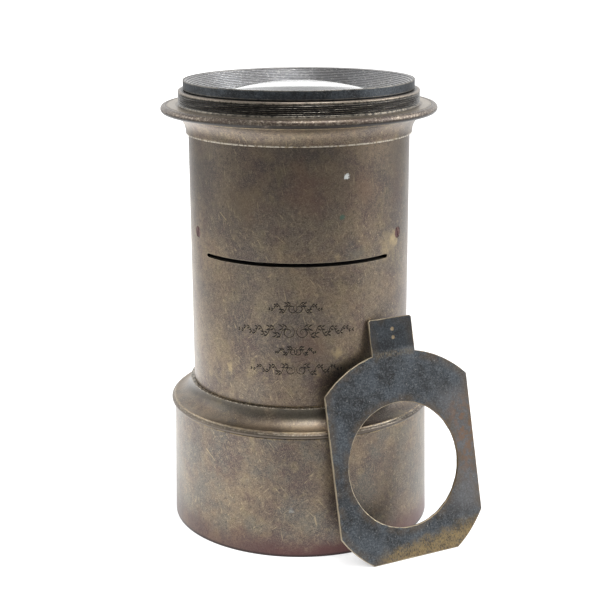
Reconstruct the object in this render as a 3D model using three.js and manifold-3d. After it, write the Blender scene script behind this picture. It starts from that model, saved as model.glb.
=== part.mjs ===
// A brass portrait lens of the Petzval kind, standing on its hood, with a slotted-in
// stop plate (a Waterhouse stop) taken out and leaned against the barrel.
// Millimetres, +Z up. The lens axis is vertical: the hood and the front glass are at the
// bottom, and the mounting thread and the rear glass are at the top.

import * as THREE from 'three';
import { mergeVertices } from 'three/addons/utils/BufferGeometryUtils.js';
import Module from 'manifold-3d';

const wasm = await Module();
wasm.setup();

// Driving dimensions. Radii are from the lens axis, heights from the table top.

const SEGMENTS = 40; // round the lens
const ARC_STEPS = 4; // along a curved stretch of a profile
const GAP = 0.3; // left between two pieces that touch or screw together

const BARREL_RADIUS = 45;
const BARREL_WALL = 1.2;
const BARREL_BORE = BARREL_RADIUS - BARREL_WALL;

const HOOD_MOUTH_RADIUS = 54.45;
const HOOD_NECK_RADIUS = 53.5;
const HOOD_WALL = 1.3;
const HOOD_TOP = 50;
const HOOD_FLARE_TOP = 46; // the flared stretch ends here and the straight seat starts

const SEAM_HEIGHT = 60.1; // where the barrel meets the front mount
const MOUNT_BORE = 44.3;
const COVE_RADIUS = 7;
const COVE_INNER_RADIUS = 46.5;
const COVE_CENTRE_HEIGHT = 59.9;
const BEAD_RADIUS = 54.85;
const BEAD_BOTTOM = 50.3;
const BEAD_TOP = 52.3;
const SLEEVE_WALL = 1.6;
const SLEEVE_BOTTOM = 26;
const SLEEVE_WEB = 47; // the sleeve narrows to the mount's bore between these two heights
const SLEEVE_WEB_TOP = 51;

const FRONT_CELL_FLANGE = 51.6;
const FRONT_CELL_BOTTOM = 22;
const FRONT_CELL_TOP = 44;
const FRONT_SEAT = 39.5;
const FRONT_SEAT_RADIUS = 44.5;
const FRONT_GLASS_RADIUS = 47;
const FRONT_CROWN_EDGE = [ 26.5, 29 ];
const FRONT_FLINT_EDGE = [ 29.3, 39.2 ];
const FRONT_GLASS_CURVE = 150;
const FRONT_REAR_CURVE = 3000; // the flint's rear face, nearly flat
const FRONT_RING_RADIUS = 44.2;
const FRONT_RING_HEIGHT = 3;
const FRONT_RING_RECESS = 0.2;

const FRONT_RING_THREAD = 7.7; // how far the barrel's thread reaches into the front mount
const FRONT_RING_INNER = 42.4;
const FRONT_RING_SOCKET = 66;

const SLOT_HEIGHT = 118; // of the stop slot's middle
const SLOT_WIDTH = 1.45;
const SLOT_CHORD = 70.4;
const SLOT_AZIMUTH = - 2.1;

const GUIDE_OPENING = 39;
const GUIDE_CLEARANCE = 0.9; // from the slot's middle to either guide ring
const SPACER_THICKNESS = 1.2;
const GUIDE_PLATE = 1.7;
const GUIDE_COLLAR_HEIGHT = 12.1;
const GUIDE_COLLAR_WALL = 2;
const SPACER_END = - 24;

const SCREW_HEIGHT = 126;
const SCREW_AZIMUTHS = [ - 117.6, - 62.4, 62.4, 117.6 ]; // from the slot's middle
const SCREW_HEAD_RADIUS = 2.25;
const SCREW_HEAD_HEIGHT = 0.9;
const SCREW_SHANK_RADIUS = 1.3;
const SCREW_LENGTH = 3.1;
const SCREW_SEGMENTS = 12;
const HOLE_TOOL_LENGTH = 8;

const COLLAR_LIP = 163.6;
const COLLAR_LIP_RADIUS = 46;
const COLLAR_LIP_HEIGHT = 0.6;
const BELL_CURVE = 7.6;
const BELL_SWEEP = 62; // degrees of arc from the lip to the fillet under the flange
const FILLET_RADIUS = 50.4;
const FLANGE_RADIUS = 56;
const FLANGE_BOTTOM = 171.9;
const FLANGE_TOP = 175.1;
const NECK_RADIUS = 48.9;
const NECK_TOP = 180.9;
const NECK_CHAMFER = 0.4;
const THREAD_PITCH = 0.75;
const THREAD_TURNS = 6;
const THREAD_DEPTH = 0.4;
const THREAD_FOOT = 0.3; // a plain land under the thread, so that nothing overhangs the shoulder
const THREAD_FOOT_RADIUS = NECK_RADIUS + 0.1;
const THREAD_RUNOUT = 0.2;
const BARREL_TOP = 169.7;
const COLLAR_BORE = 45.9;

const REAR_CELL_RADIUS = 46.75;
const REAR_RIM = 0.55;
const REAR_TOP = 184.9;
const REAR_SHOULDER = 181.2;
const REAR_THREAD_BOTTOM = 171;
const REAR_TUBE_RADIUS = 43.3;
const REAR_CELL_BOTTOM = 157.5;
const REAR_SEAT = 160;
const REAR_SEAT_RADIUS = 37.5;
const REAR_GLASS_RADIUS = 40;
const REAR_RING_BOTTOM = 177.5;
const REAR_RING_RADIUS = 43.6;
const REAR_RING_STEP = 182.3;
const REAR_RING_DROP = 0.1; // below the cell's rim
const REAR_MOUTH_LAND = 0.4;
const REAR_MOUTH_RADIUS = 38.3;
const REAR_CROWN_EDGE = [ 172.6, 176.6 ];
const REAR_CROWN_CURVES = [ 400, 115 ];
const REAR_FLINT_EDGE = [ 160.7, 168.5 ];
const REAR_FLINT_CURVES = [ 300, - 110 ];
const REAR_SPACER_WALL = 2;

const STOP_THICKNESS = 0.95;
const STOP_HALF_WIDTH = 32.7;
const STOP_FOOT_HALF_WIDTH = 19.6;
const STOP_SIDE_BOTTOM = 13.3;
const STOP_CORNER_CURVE = 46;
const STOP_TOP_RADIUS = 45.9;
const STOP_TOP_CENTRE = 37.3;
const STOP_TAB_HALF_WIDTH = 9.85;
const STOP_TAB_TOP = 96.5;
const STOP_TAB_CORNER = 1.2;
const STOP_HOLE_RADIUS = 25;
const STOP_HOLE_CENTRE = [ - 1, 37.6 ];
const STOP_CURVE_SEGMENTS = 12;
const STOP_FOOT = [ 46.2, - 54, 0 ];
const STOP_HEADING = 26.67;
const STOP_LEAN = 14.6;

// Materials

function metal( color, roughness ) {

	return new THREE.MeshStandardMaterial( { color, roughness, metalness: 1 } );

}

const agedBrass = () => metal( 0x6f675b, 0.45 );
const blackenedBrass = () => metal( 0x2e3238, 0.4 );
const brightBrass = () => metal( 0xb08d4f, 0.35 );
const screwBrass = () => metal( 0x5c4540, 0.4 );

function opticalGlass() {

	return new THREE.MeshStandardMaterial( {
		color: 0xe9edea,
		roughness: 0.03,
		metalness: 0,
		transparent: true,
		opacity: 0.35
	} );

}

// Helpers

function part( name, geometry, material ) {

	const mesh = new THREE.Mesh( geometry, material );
	mesh.name = name;
	return mesh;

}

// A solid of revolution about the Z axis. The profile is a list of [ radius, height ]
// that runs anticlockwise: out along the bottom, up the outside and back in at the top.
function turned( profile, segments = SEGMENTS ) {

	const points = profile.map( ( [ radius, height ] ) => new THREE.Vector2( radius, height ) );
	const isRing = profile[ 0 ][ 0 ] > 0;
	if ( isRing ) points.push( points[ 0 ].clone() );
	return new THREE.LatheGeometry( points, segments ).rotateX( Math.PI / 2 );

}

// Points along an arc in a turned profile, with angles in degrees from the +radius direction.
function arc( [ centreRadius, centreHeight ], radius, fromDegrees, toDegrees ) {

	return Array.from( { length: ARC_STEPS + 1 }, ( _, step ) => {

		const degrees = fromDegrees + ( toDegrees - fromDegrees ) * step / ARC_STEPS;
		const angle = THREE.MathUtils.degToRad( degrees );
		return [ centreRadius + radius * Math.cos( angle ), centreHeight + radius * Math.sin( angle ) ];

	} );

}

function toSolid( geometry ) {

	const bare = geometry.clone();
	bare.deleteAttribute( 'normal' );
	bare.deleteAttribute( 'uv' );
	const merged = mergeVertices( bare );
	return new wasm.Manifold( new wasm.Mesh( {
		numProp: 3,
		vertProperties: new Float32Array( merged.attributes.position.array ),
		triVerts: new Uint32Array( merged.index.array )
	} ) );

}

function toGeometry( solid ) {

	const mesh = solid.getMesh();
	const geometry = new THREE.BufferGeometry();
	geometry.setAttribute( 'position', new THREE.BufferAttribute( mesh.vertProperties, 3 ) );
	geometry.setIndex( new THREE.BufferAttribute( mesh.triVerts, 1 ) );
	geometry.computeVertexNormals();
	return geometry;

}

function cut( geometry, tools ) {

	const whole = toSolid( geometry );
	return toGeometry( tools.reduce( ( solid, tool ) => solid.subtract( toSolid( tool ) ), whole ) );

}

// The turn about the lens axis that brings the -Y side round by so many degrees towards +X.
function azimuthTurn( degrees ) {

	return new THREE.Matrix4().makeRotationZ( THREE.MathUtils.degToRad( degrees ) );

}

// One face of a lens, from the axis out to its edge, as [ radius, height ]. A positive
// curve bulges away from the glass by its sagitta, and a negative one is hollow.
function lensFace( edgeHeight, edgeRadius, curve, outward ) {

	const sign = Math.sign( curve ) * outward;
	const radius = Math.abs( curve );
	const drop = Math.sqrt( radius ** 2 - edgeRadius ** 2 );
	return Array.from( { length: ARC_STEPS }, ( _, step ) => {

		const r = edgeRadius * step / ( ARC_STEPS - 1 );
		return [ r, edgeHeight + sign * ( Math.sqrt( radius ** 2 - r ** 2 ) - drop ) ];

	} );

}

function lens( edge, radius, frontCurve, rearCurve ) {

	const front = lensFace( edge[ 0 ], radius, frontCurve, - 1 );
	const rear = lensFace( edge[ 1 ], radius, rearCurve, 1 ).reverse();
	return turned( [ ...front, ...rear ] );

}

// Hood and front mount

function hoodTube() {

	return turned( [
		[ HOOD_MOUTH_RADIUS - HOOD_WALL, 0 ],
		[ HOOD_MOUTH_RADIUS, 0 ],
		[ HOOD_NECK_RADIUS, HOOD_FLARE_TOP ],
		[ HOOD_NECK_RADIUS, HOOD_TOP ],
		[ HOOD_NECK_RADIUS - HOOD_WALL, HOOD_TOP ],
		[ HOOD_NECK_RADIUS - HOOD_WALL, HOOD_FLARE_TOP ]
	] );

}

function frontMount() {

	const sleeve = HOOD_NECK_RADIUS - HOOD_WALL - GAP;
	const beadRound = ( BEAD_TOP - BEAD_BOTTOM ) / 2;
	const coveCentre = [ COVE_INNER_RADIUS + COVE_RADIUS, COVE_CENTRE_HEIGHT ];
	return turned( [
		[ sleeve - SLEEVE_WALL, SLEEVE_BOTTOM ],
		[ sleeve, SLEEVE_BOTTOM ],
		[ sleeve, BEAD_BOTTOM ],
		...arc( [ BEAD_RADIUS - beadRound, BEAD_BOTTOM + beadRound ], beadRound, - 90, 90 ),
		...arc( coveCentre, COVE_RADIUS, - 90, - 180 ),
		[ COVE_INNER_RADIUS, SEAM_HEIGHT ],
		[ MOUNT_BORE, SEAM_HEIGHT ],
		[ MOUNT_BORE, SLEEVE_WEB_TOP ],
		[ sleeve - SLEEVE_WALL, SLEEVE_WEB ]
	] );

}

// Front cell: screws up into the mount's sleeve and holds the cemented front pair

function frontCell() {

	const thread = HOOD_NECK_RADIUS - HOOD_WALL - GAP - SLEEVE_WALL - GAP;
	const bore = FRONT_GLASS_RADIUS + GAP;
	const flangeTop = SLEEVE_BOTTOM - GAP;
	return turned( [
		[ bore, FRONT_CELL_BOTTOM ],
		[ FRONT_CELL_FLANGE, FRONT_CELL_BOTTOM ],
		[ FRONT_CELL_FLANGE, flangeTop ],
		[ thread, flangeTop ],
		[ thread, FRONT_CELL_TOP ],
		[ FRONT_SEAT_RADIUS, FRONT_CELL_TOP ],
		[ FRONT_SEAT_RADIUS, FRONT_SEAT ],
		[ bore, FRONT_SEAT ]
	] );

}

function frontRetainingRing() {

	const bottom = FRONT_CELL_BOTTOM + FRONT_RING_RECESS;
	return turned( [
		[ FRONT_RING_RADIUS, bottom ],
		[ FRONT_GLASS_RADIUS, bottom ],
		[ FRONT_GLASS_RADIUS, bottom + FRONT_RING_HEIGHT ],
		[ FRONT_RING_RADIUS, bottom + FRONT_RING_HEIGHT ]
	] );

}

const frontCrown = () => lens( FRONT_CROWN_EDGE, FRONT_GLASS_RADIUS, FRONT_GLASS_CURVE, FRONT_GLASS_CURVE );
const frontFlint = () =>
	lens( FRONT_FLINT_EDGE, FRONT_GLASS_RADIUS, - FRONT_GLASS_CURVE, FRONT_REAR_CURVE );

// Barrel

function barrelFrontRing() {

	const socket = BARREL_BORE - GAP;
	return turned( [
		[ FRONT_RING_INNER, SEAM_HEIGHT - FRONT_RING_THREAD ],
		[ MOUNT_BORE - GAP, SEAM_HEIGHT - FRONT_RING_THREAD ],
		[ MOUNT_BORE - GAP, SEAM_HEIGHT ],
		[ socket, SEAM_HEIGHT ],
		[ socket, FRONT_RING_SOCKET ],
		[ FRONT_RING_INNER, FRONT_RING_SOCKET ]
	] );

}

// A straight hole along a radius of the barrel at the screws' height.
function screwHole( azimuth, radius, holeRadius ) {

	return new THREE.CylinderGeometry( holeRadius, holeRadius, HOLE_TOOL_LENGTH, SCREW_SEGMENTS )
		.translate( 0, - radius, SCREW_HEIGHT )
		.applyMatrix4( azimuthTurn( azimuth ) );

}

function barrelTube() {

	const tube = turned( [
		[ BARREL_BORE, SEAM_HEIGHT + GAP ],
		[ BARREL_RADIUS, SEAM_HEIGHT + GAP ],
		[ BARREL_RADIUS, BARREL_TOP ],
		[ BARREL_BORE, BARREL_TOP ]
	] );
	const slot = new THREE.BoxGeometry( SLOT_CHORD, BARREL_RADIUS, SLOT_WIDTH )
		.translate( 0, - BARREL_RADIUS, SLOT_HEIGHT )
		.applyMatrix4( azimuthTurn( SLOT_AZIMUTH ) );
	const holes = SCREW_AZIMUTHS.map( ( azimuth ) =>
		screwHole( SLOT_AZIMUTH + azimuth, BARREL_RADIUS, SCREW_HEAD_RADIUS + GAP ) );
	return cut( tube, [ slot, ...holes ] );

}

// Collar at the rear end: a bell that flares into the shoulder flange, and the mounting
// thread above it, cut as plain rings.
function flangeCollar() {

	const edge = ( FLANGE_TOP - FLANGE_BOTTOM ) / 2;
	const bellCentre = [ COLLAR_LIP_RADIUS + BELL_CURVE, COLLAR_LIP + COLLAR_LIP_HEIGHT ];
	const thread = [];
	for ( let turn = 0; turn < THREAD_TURNS; turn ++ ) {

		const height = FLANGE_TOP + THREAD_FOOT + turn * THREAD_PITCH;
		thread.push( [ NECK_RADIUS - THREAD_DEPTH, height ] );
		thread.push( [ NECK_RADIUS, height + THREAD_PITCH / 2 ] );

	}

	const threadTop = FLANGE_TOP + THREAD_FOOT + THREAD_TURNS * THREAD_PITCH;
	return turned( [
		[ BARREL_RADIUS + GAP, COLLAR_LIP ],
		[ COLLAR_LIP_RADIUS, COLLAR_LIP ],
		...arc( bellCentre, BELL_CURVE, 180, 180 - BELL_SWEEP ),
		[ FILLET_RADIUS, FLANGE_BOTTOM ],
		...arc( [ FLANGE_RADIUS - edge, FLANGE_BOTTOM + edge ], edge, - 90, 90 ),
		[ THREAD_FOOT_RADIUS, FLANGE_TOP ],
		[ THREAD_FOOT_RADIUS, FLANGE_TOP + THREAD_FOOT ],
		...thread,
		[ NECK_RADIUS - THREAD_DEPTH, threadTop ],
		[ NECK_RADIUS, threadTop + THREAD_RUNOUT ],
		[ NECK_RADIUS, NECK_TOP - NECK_CHAMFER ],
		[ NECK_RADIUS - NECK_CHAMFER, NECK_TOP ],
		[ COLLAR_BORE, NECK_TOP ],
		[ COLLAR_BORE, BARREL_TOP + 2 * GAP ],
		[ BARREL_RADIUS + GAP, BARREL_TOP + GAP ]
	] );

}

// Stop guide: two rings with a horseshoe between them, behind the slot

function guideUpperRing() {

	const bottom = SLOT_HEIGHT + GUIDE_CLEARANCE;
	const outer = BARREL_BORE - GAP;
	const ring = turned( [
		[ GUIDE_OPENING, bottom ],
		[ outer, bottom ],
		[ outer, bottom + GUIDE_COLLAR_HEIGHT ],
		[ outer - GUIDE_COLLAR_WALL, bottom + GUIDE_COLLAR_HEIGHT ],
		[ outer - GUIDE_COLLAR_WALL, bottom + GUIDE_PLATE ],
		[ GUIDE_OPENING, bottom + GUIDE_PLATE ]
	] );
	const holes = SCREW_AZIMUTHS.map( ( azimuth ) =>
		screwHole( SLOT_AZIMUTH + azimuth, BARREL_RADIUS, SCREW_SHANK_RADIUS + GAP ) );
	return cut( ring, holes );

}

function guideLowerRing() {

	const top = SLOT_HEIGHT - GUIDE_CLEARANCE;
	const outer = BARREL_BORE - GAP;
	return turned( [
		[ GUIDE_OPENING, top - GUIDE_PLATE ],
		[ outer, top - GUIDE_PLATE ],
		[ outer, top ],
		[ GUIDE_OPENING, top ]
	] );

}

function guideSpacer() {

	const outer = BARREL_BORE - GAP;
	const inner = STOP_HALF_WIDTH + GAP;
	const foot = STOP_FOOT_HALF_WIDTH + GAP;
	const farSide = STOP_TOP_CENTRE + GAP;
	const startAngle = Math.atan2( SPACER_END, Math.sqrt( outer ** 2 - SPACER_END ** 2 ) );
	const shape = new THREE.Shape();
	shape.moveTo( inner, SPACER_END );
	shape.absarc( 0, 0, outer, startAngle, Math.PI - startAngle, false );
	shape.lineTo( - inner, SPACER_END );
	shape.lineTo( - inner, farSide - STOP_SIDE_BOTTOM );
	shape.lineTo( - foot, farSide );
	shape.lineTo( foot, farSide );
	shape.lineTo( inner, farSide - STOP_SIDE_BOTTOM );
	const options = { depth: SPACER_THICKNESS, bevelEnabled: false, curveSegments: SEGMENTS / 2 };
	return new THREE.ExtrudeGeometry( shape, options )
		.translate( 0, 0, SLOT_HEIGHT - SPACER_THICKNESS / 2 )
		.applyMatrix4( azimuthTurn( SLOT_AZIMUTH ) );

}

function guideScrew( azimuth ) {

	return turned( [
		[ 0, - SCREW_LENGTH ],
		[ SCREW_SHANK_RADIUS, - SCREW_LENGTH ],
		[ SCREW_SHANK_RADIUS, - SCREW_HEAD_HEIGHT ],
		[ SCREW_HEAD_RADIUS, - SCREW_HEAD_HEIGHT ],
		[ SCREW_HEAD_RADIUS, 0 ],
		[ 0, 0 ]
	], SCREW_SEGMENTS )
		.rotateX( Math.PI / 2 )
		.translate( 0, - Math.sqrt( BARREL_RADIUS ** 2 - SCREW_HEAD_RADIUS ** 2 ), SCREW_HEIGHT )
		.applyMatrix4( azimuthTurn( SLOT_AZIMUTH + azimuth ) );

}

// Rear cell: screws down into the neck and holds the air-spaced rear pair

function rearCell() {

	const bore = REAR_GLASS_RADIUS + GAP;
	const ringBore = REAR_RING_RADIUS + GAP;
	return turned( [
		[ REAR_SEAT_RADIUS, REAR_CELL_BOTTOM ],
		[ REAR_TUBE_RADIUS, REAR_CELL_BOTTOM ],
		[ REAR_TUBE_RADIUS, REAR_THREAD_BOTTOM ],
		[ COLLAR_BORE - GAP, REAR_THREAD_BOTTOM ],
		[ COLLAR_BORE - GAP, REAR_SHOULDER ],
		[ REAR_CELL_RADIUS, REAR_SHOULDER ],
		[ REAR_CELL_RADIUS, REAR_TOP ],
		[ REAR_CELL_RADIUS - REAR_RIM, REAR_TOP ],
		[ REAR_CELL_RADIUS - REAR_RIM, REAR_RING_STEP - GAP ],
		[ ringBore, REAR_RING_STEP - GAP ],
		[ ringBore, REAR_RING_BOTTOM - GAP ],
		[ bore, REAR_RING_BOTTOM - GAP ],
		[ bore, REAR_SEAT ],
		[ REAR_SEAT_RADIUS, REAR_SEAT ]
	] );

}

function rearRetainingRing() {

	const lip = REAR_CELL_RADIUS - REAR_RIM - GAP;
	return turned( [
		[ REAR_MOUTH_RADIUS, REAR_RING_BOTTOM ],
		[ REAR_RING_RADIUS, REAR_RING_BOTTOM ],
		[ REAR_RING_RADIUS, REAR_RING_STEP ],
		[ lip, REAR_RING_STEP ],
		[ lip, REAR_TOP - REAR_RING_DROP ],
		[ REAR_MOUTH_RADIUS, REAR_RING_BOTTOM + REAR_MOUTH_LAND ]
	] );

}

function rearSpacerRing() {

	return turned( [
		[ REAR_GLASS_RADIUS - REAR_SPACER_WALL, REAR_FLINT_EDGE[ 1 ] + GAP ],
		[ REAR_GLASS_RADIUS, REAR_FLINT_EDGE[ 1 ] + GAP ],
		[ REAR_GLASS_RADIUS, REAR_CROWN_EDGE[ 0 ] - GAP ],
		[ REAR_GLASS_RADIUS - REAR_SPACER_WALL, REAR_CROWN_EDGE[ 0 ] - GAP ]
	] );

}

const rearCrown = () => lens( REAR_CROWN_EDGE, REAR_GLASS_RADIUS, ...REAR_CROWN_CURVES );
const rearFlint = () => lens( REAR_FLINT_EDGE, REAR_GLASS_RADIUS, ...REAR_FLINT_CURVES );

// Stop plate, drawn flat with its foot on the X axis and its tab upwards

// Adds a bulging arc of the given radius from one point of the outline to the next.
function bulgeTo( shape, from, to, radius ) {

	const middle = [ ( from[ 0 ] + to[ 0 ] ) / 2, ( from[ 1 ] + to[ 1 ] ) / 2 ];
	const chord = [ to[ 0 ] - from[ 0 ], to[ 1 ] - from[ 1 ] ];
	const length = Math.hypot( ...chord );
	const offset = Math.sqrt( radius ** 2 - ( length / 2 ) ** 2 ) / length;
	const centre = [ middle[ 0 ] - chord[ 1 ] * offset, middle[ 1 ] + chord[ 0 ] * offset ];
	const angleOf = ( point ) => Math.atan2( point[ 1 ] - centre[ 1 ], point[ 0 ] - centre[ 0 ] );
	shape.absarc( ...centre, radius, angleOf( from ), angleOf( to ), false );

}

function stopPlate() {

	const sideTop = STOP_TOP_CENTRE + Math.sqrt( STOP_TOP_RADIUS ** 2 - STOP_HALF_WIDTH ** 2 );
	const tabFoot = STOP_TOP_CENTRE + Math.sqrt( STOP_TOP_RADIUS ** 2 - STOP_TAB_HALF_WIDTH ** 2 );
	const footRight = [ STOP_FOOT_HALF_WIDTH, 0 ];
	const footLeft = [ - STOP_FOOT_HALF_WIDTH, 0 ];
	const sideRight = [ STOP_HALF_WIDTH, STOP_SIDE_BOTTOM ];
	const sideLeft = [ - STOP_HALF_WIDTH, STOP_SIDE_BOTTOM ];
	const shape = new THREE.Shape();
	shape.moveTo( ...footRight );
	bulgeTo( shape, footRight, sideRight, STOP_CORNER_CURVE );
	shape.lineTo( STOP_HALF_WIDTH, sideTop );
	bulgeTo( shape, [ STOP_HALF_WIDTH, sideTop ], [ STOP_TAB_HALF_WIDTH, tabFoot ], STOP_TOP_RADIUS );
	shape.lineTo( STOP_TAB_HALF_WIDTH, STOP_TAB_TOP - STOP_TAB_CORNER );
	shape.lineTo( STOP_TAB_HALF_WIDTH - STOP_TAB_CORNER, STOP_TAB_TOP );
	shape.lineTo( STOP_TAB_CORNER - STOP_TAB_HALF_WIDTH, STOP_TAB_TOP );
	shape.lineTo( - STOP_TAB_HALF_WIDTH, STOP_TAB_TOP - STOP_TAB_CORNER );
	shape.lineTo( - STOP_TAB_HALF_WIDTH, tabFoot );
	bulgeTo( shape, [ - STOP_TAB_HALF_WIDTH, tabFoot ], [ - STOP_HALF_WIDTH, sideTop ], STOP_TOP_RADIUS );
	shape.lineTo( ...sideLeft );
	bulgeTo( shape, sideLeft, footLeft, STOP_CORNER_CURVE );
	const hole = new THREE.Path();
	hole.absarc( ...STOP_HOLE_CENTRE, STOP_HOLE_RADIUS, 0, 2 * Math.PI, true );
	shape.holes.push( hole );
	const options = { depth: STOP_THICKNESS, bevelEnabled: false, curveSegments: STOP_CURVE_SEGMENTS };
	return new THREE.ExtrudeGeometry( shape, options );

}

function leaningStop() {

	const stop = part( 'waterhouse_stop', stopPlate(), blackenedBrass() );
	const lean = THREE.MathUtils.degToRad( 90 - STOP_LEAN );
	stop.rotation.set( lean, 0, THREE.MathUtils.degToRad( STOP_HEADING ), 'ZYX' );
	stop.position.set( ...STOP_FOOT );
	return stop;

}

// Assembly

const model = new THREE.Group();
model.name = 'portrait_lens';
model.add(
	part( 'hood_tube', hoodTube(), agedBrass() ),
	part( 'front_mount', frontMount(), agedBrass() ),
	part( 'front_cell', frontCell(), blackenedBrass() ),
	part( 'front_retaining_ring', frontRetainingRing(), blackenedBrass() ),
	part( 'front_crown_lens', frontCrown(), opticalGlass() ),
	part( 'front_flint_lens', frontFlint(), opticalGlass() ),
	part( 'barrel_front_ring', barrelFrontRing(), brightBrass() ),
	part( 'barrel_tube', barrelTube(), agedBrass() ),
	part( 'flange_collar', flangeCollar(), agedBrass() ),
	part( 'stop_guide_upper_ring', guideUpperRing(), blackenedBrass() ),
	part( 'stop_guide_spacer', guideSpacer(), blackenedBrass() ),
	part( 'stop_guide_lower_ring', guideLowerRing(), blackenedBrass() ),
	part( 'rear_cell', rearCell(), blackenedBrass() ),
	part( 'rear_retaining_ring', rearRetainingRing(), blackenedBrass() ),
	part( 'rear_crown_lens', rearCrown(), opticalGlass() ),
	part( 'rear_spacer_ring', rearSpacerRing(), blackenedBrass() ),
	part( 'rear_flint_lens', rearFlint(), opticalGlass() ),
	leaningStop()
);
SCREW_AZIMUTHS.forEach( ( azimuth, index ) => {

	model.add( part( `guide_screw_${ index + 1 }`, guideScrew( azimuth ), screwBrass() ) );

} );

// The origin is the middle of the whole object's footprint, on the table top.
const bounds = new THREE.Box3().setFromObject( model, true );
const middle = bounds.getCenter( new THREE.Vector3() );
model.position.set( - middle.x, - middle.y, - bounds.min.z );

export default model;
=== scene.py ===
"""Looks for the brass portrait lens: fine turned meshes, patina, glass, light and camera.

The CAD model is loaded as the fixed frame. Every visible CAD node but the stop guide rings
and the rear spacer ring, which only take a matt black, is replaced by a finer piece of the
same size. Sizes below are in millimetres, and MM turns them into metres.
Radii are from the lens axis and heights are from the table.
"""

import math

import bmesh
import bpy
import numpy as np
from mathutils import Euler, Matrix, Vector
from mathutils.geometry import delaunay_2d_cdt


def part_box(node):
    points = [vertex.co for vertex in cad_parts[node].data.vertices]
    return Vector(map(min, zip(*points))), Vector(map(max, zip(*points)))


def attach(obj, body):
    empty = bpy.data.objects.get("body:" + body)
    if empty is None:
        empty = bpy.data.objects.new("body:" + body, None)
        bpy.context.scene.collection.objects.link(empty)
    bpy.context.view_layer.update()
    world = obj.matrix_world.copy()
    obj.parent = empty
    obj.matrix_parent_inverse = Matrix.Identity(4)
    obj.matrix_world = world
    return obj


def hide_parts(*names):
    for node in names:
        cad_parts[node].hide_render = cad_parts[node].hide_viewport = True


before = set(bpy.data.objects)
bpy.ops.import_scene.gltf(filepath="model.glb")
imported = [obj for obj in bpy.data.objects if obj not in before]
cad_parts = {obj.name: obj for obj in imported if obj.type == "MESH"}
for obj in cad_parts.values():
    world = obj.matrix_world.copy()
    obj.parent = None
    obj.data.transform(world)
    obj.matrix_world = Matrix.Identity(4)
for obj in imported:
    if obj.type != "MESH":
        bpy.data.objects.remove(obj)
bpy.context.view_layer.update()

# ------------ sizes

MM = 0.001
SEGMENTS = 240
GLASS_SEGMENTS = 120
GLASS_RINGS = 14
ROUND_STEPS = 3
CLOSE = 0.001
GENTLE_TURN = 25
WEAR_SPREAD = 0.35


def extent(node):
    """Bottom height, top height and outer radius of a round CAD node, in millimetres."""
    low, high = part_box(node)
    return low.z / MM, high.z / MM, (high.x - low.x) / 2 / MM


AXIS = (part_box("barrel_tube")[0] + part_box("barrel_tube")[1]) / 2
AXIS.z = 0

SEAM_CLOSER = 0.19
HOOD_BOTTOM, HOOD_TOP, HOOD_MOUTH_RADIUS = extent("hood_tube")
HOOD_NECK_RADIUS = 53.5
HOOD_FLARE_TOP = 46
HOOD_WALL = 1.3

MOUNT_BOTTOM, SEAM_HEIGHT, BEAD_RADIUS = extent("front_mount")
BEAD_BOTTOM, BEAD_TOP = 50.3, 52.3
COVE_CENTRE = (53.5, 59.9)
COVE_RADIUS = 7
MOUNT_BORE = 44.3
SLEEVE_RADIUS = 51.9
SLEEVE_WALL = 1.6
SLEEVE_WEB, SLEEVE_WEB_TOP = 47, 51

BARREL_BOTTOM, BARREL_TOP, BARREL_RADIUS = extent("barrel_tube")
BARREL_BOTTOM -= SEAM_CLOSER
BARREL_WALL = 1.2
SLOT_HEIGHT = 118
SLOT_WIDTH = 1.6
SLOT_CHORD = 71.4
SLOT_AZIMUTH = -2.1
SLOT_CUT, HOLE_CUT = (20, 40), (41, 8)  # the radius where each cut starts, and its depth

SCREW_HEIGHT = 126
SCREW_AZIMUTHS = (-117.6, -62.4, 62.4, 117.6)
SCREW_HEAD_RADIUS = 2.25
SCREW_HEAD_DEPTH = 0.9

COLLAR_LIP, NECK_TOP, FLANGE_RADIUS = extent("flange_collar")
COLLAR_LIP_RADIUS = 46
BELL_CURVE = 7.6
BELL_SWEEP = 62
FILLET_RADIUS = 50.4
FLANGE_BOTTOM, FLANGE_TOP = 171.9, 175.1
FLANGE_GROOVE = 53.7
NECK_RADIUS = 48.9
NECK_CHAMFER = 0.4
COLLAR_BORE = 45.9
THREAD_PITCH = 0.75
THREAD_DEPTH = 0.42
THREAD_BOTTOM, THREAD_TOP = 175.4, 180.1

REAR_BOTTOM, REAR_TOP, REAR_RADIUS = extent("rear_cell")
REAR_SHOULDER = 181.2
REAR_RIM = 0.55
REAR_THREAD_BOTTOM = 171
REAR_THREAD_RADIUS = 45.6
REAR_TUBE_RADIUS = 43.3
REAR_BORE = 37.5
REAR_GLASS_STOP, REAR_GLASS_SEAT = 160, 40.3
REAR_RING_SEAT, REAR_RING_LEDGE = 43.9, 182
REAR_MOUTH_RADIUS = 38.3
REAR_MOUTH_LIP = REAR_RADIUS - REAR_RIM - 0.06
REAR_RING_BOTTOM = 177.5
REAR_RING_OUTER = 43.6
REAR_GAP = 0.3
GROOVE_PITCH = 0.7
GROOVE_DEPTH = 0.22
SCREW_PITCH = 1.0
SCREW_DEPTH = 0.45
THREAD_REACH = 0.02  # a point this near a threaded wall moves with the thread
THREAD_FLANK = 1.35  # above 1 the thread's root is flat

FRONT_CELL_BOTTOM, FRONT_CELL_TOP, FRONT_CELL_RADIUS = extent("front_cell")
FRONT_GLASS_SEAT, FRONT_GLASS_STOP = 47.3, 39.5
FRONT_CELL_BORE, FRONT_RING_BORE, BARREL_RING_BORE = 44.5, 44.2, 42.4

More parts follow.
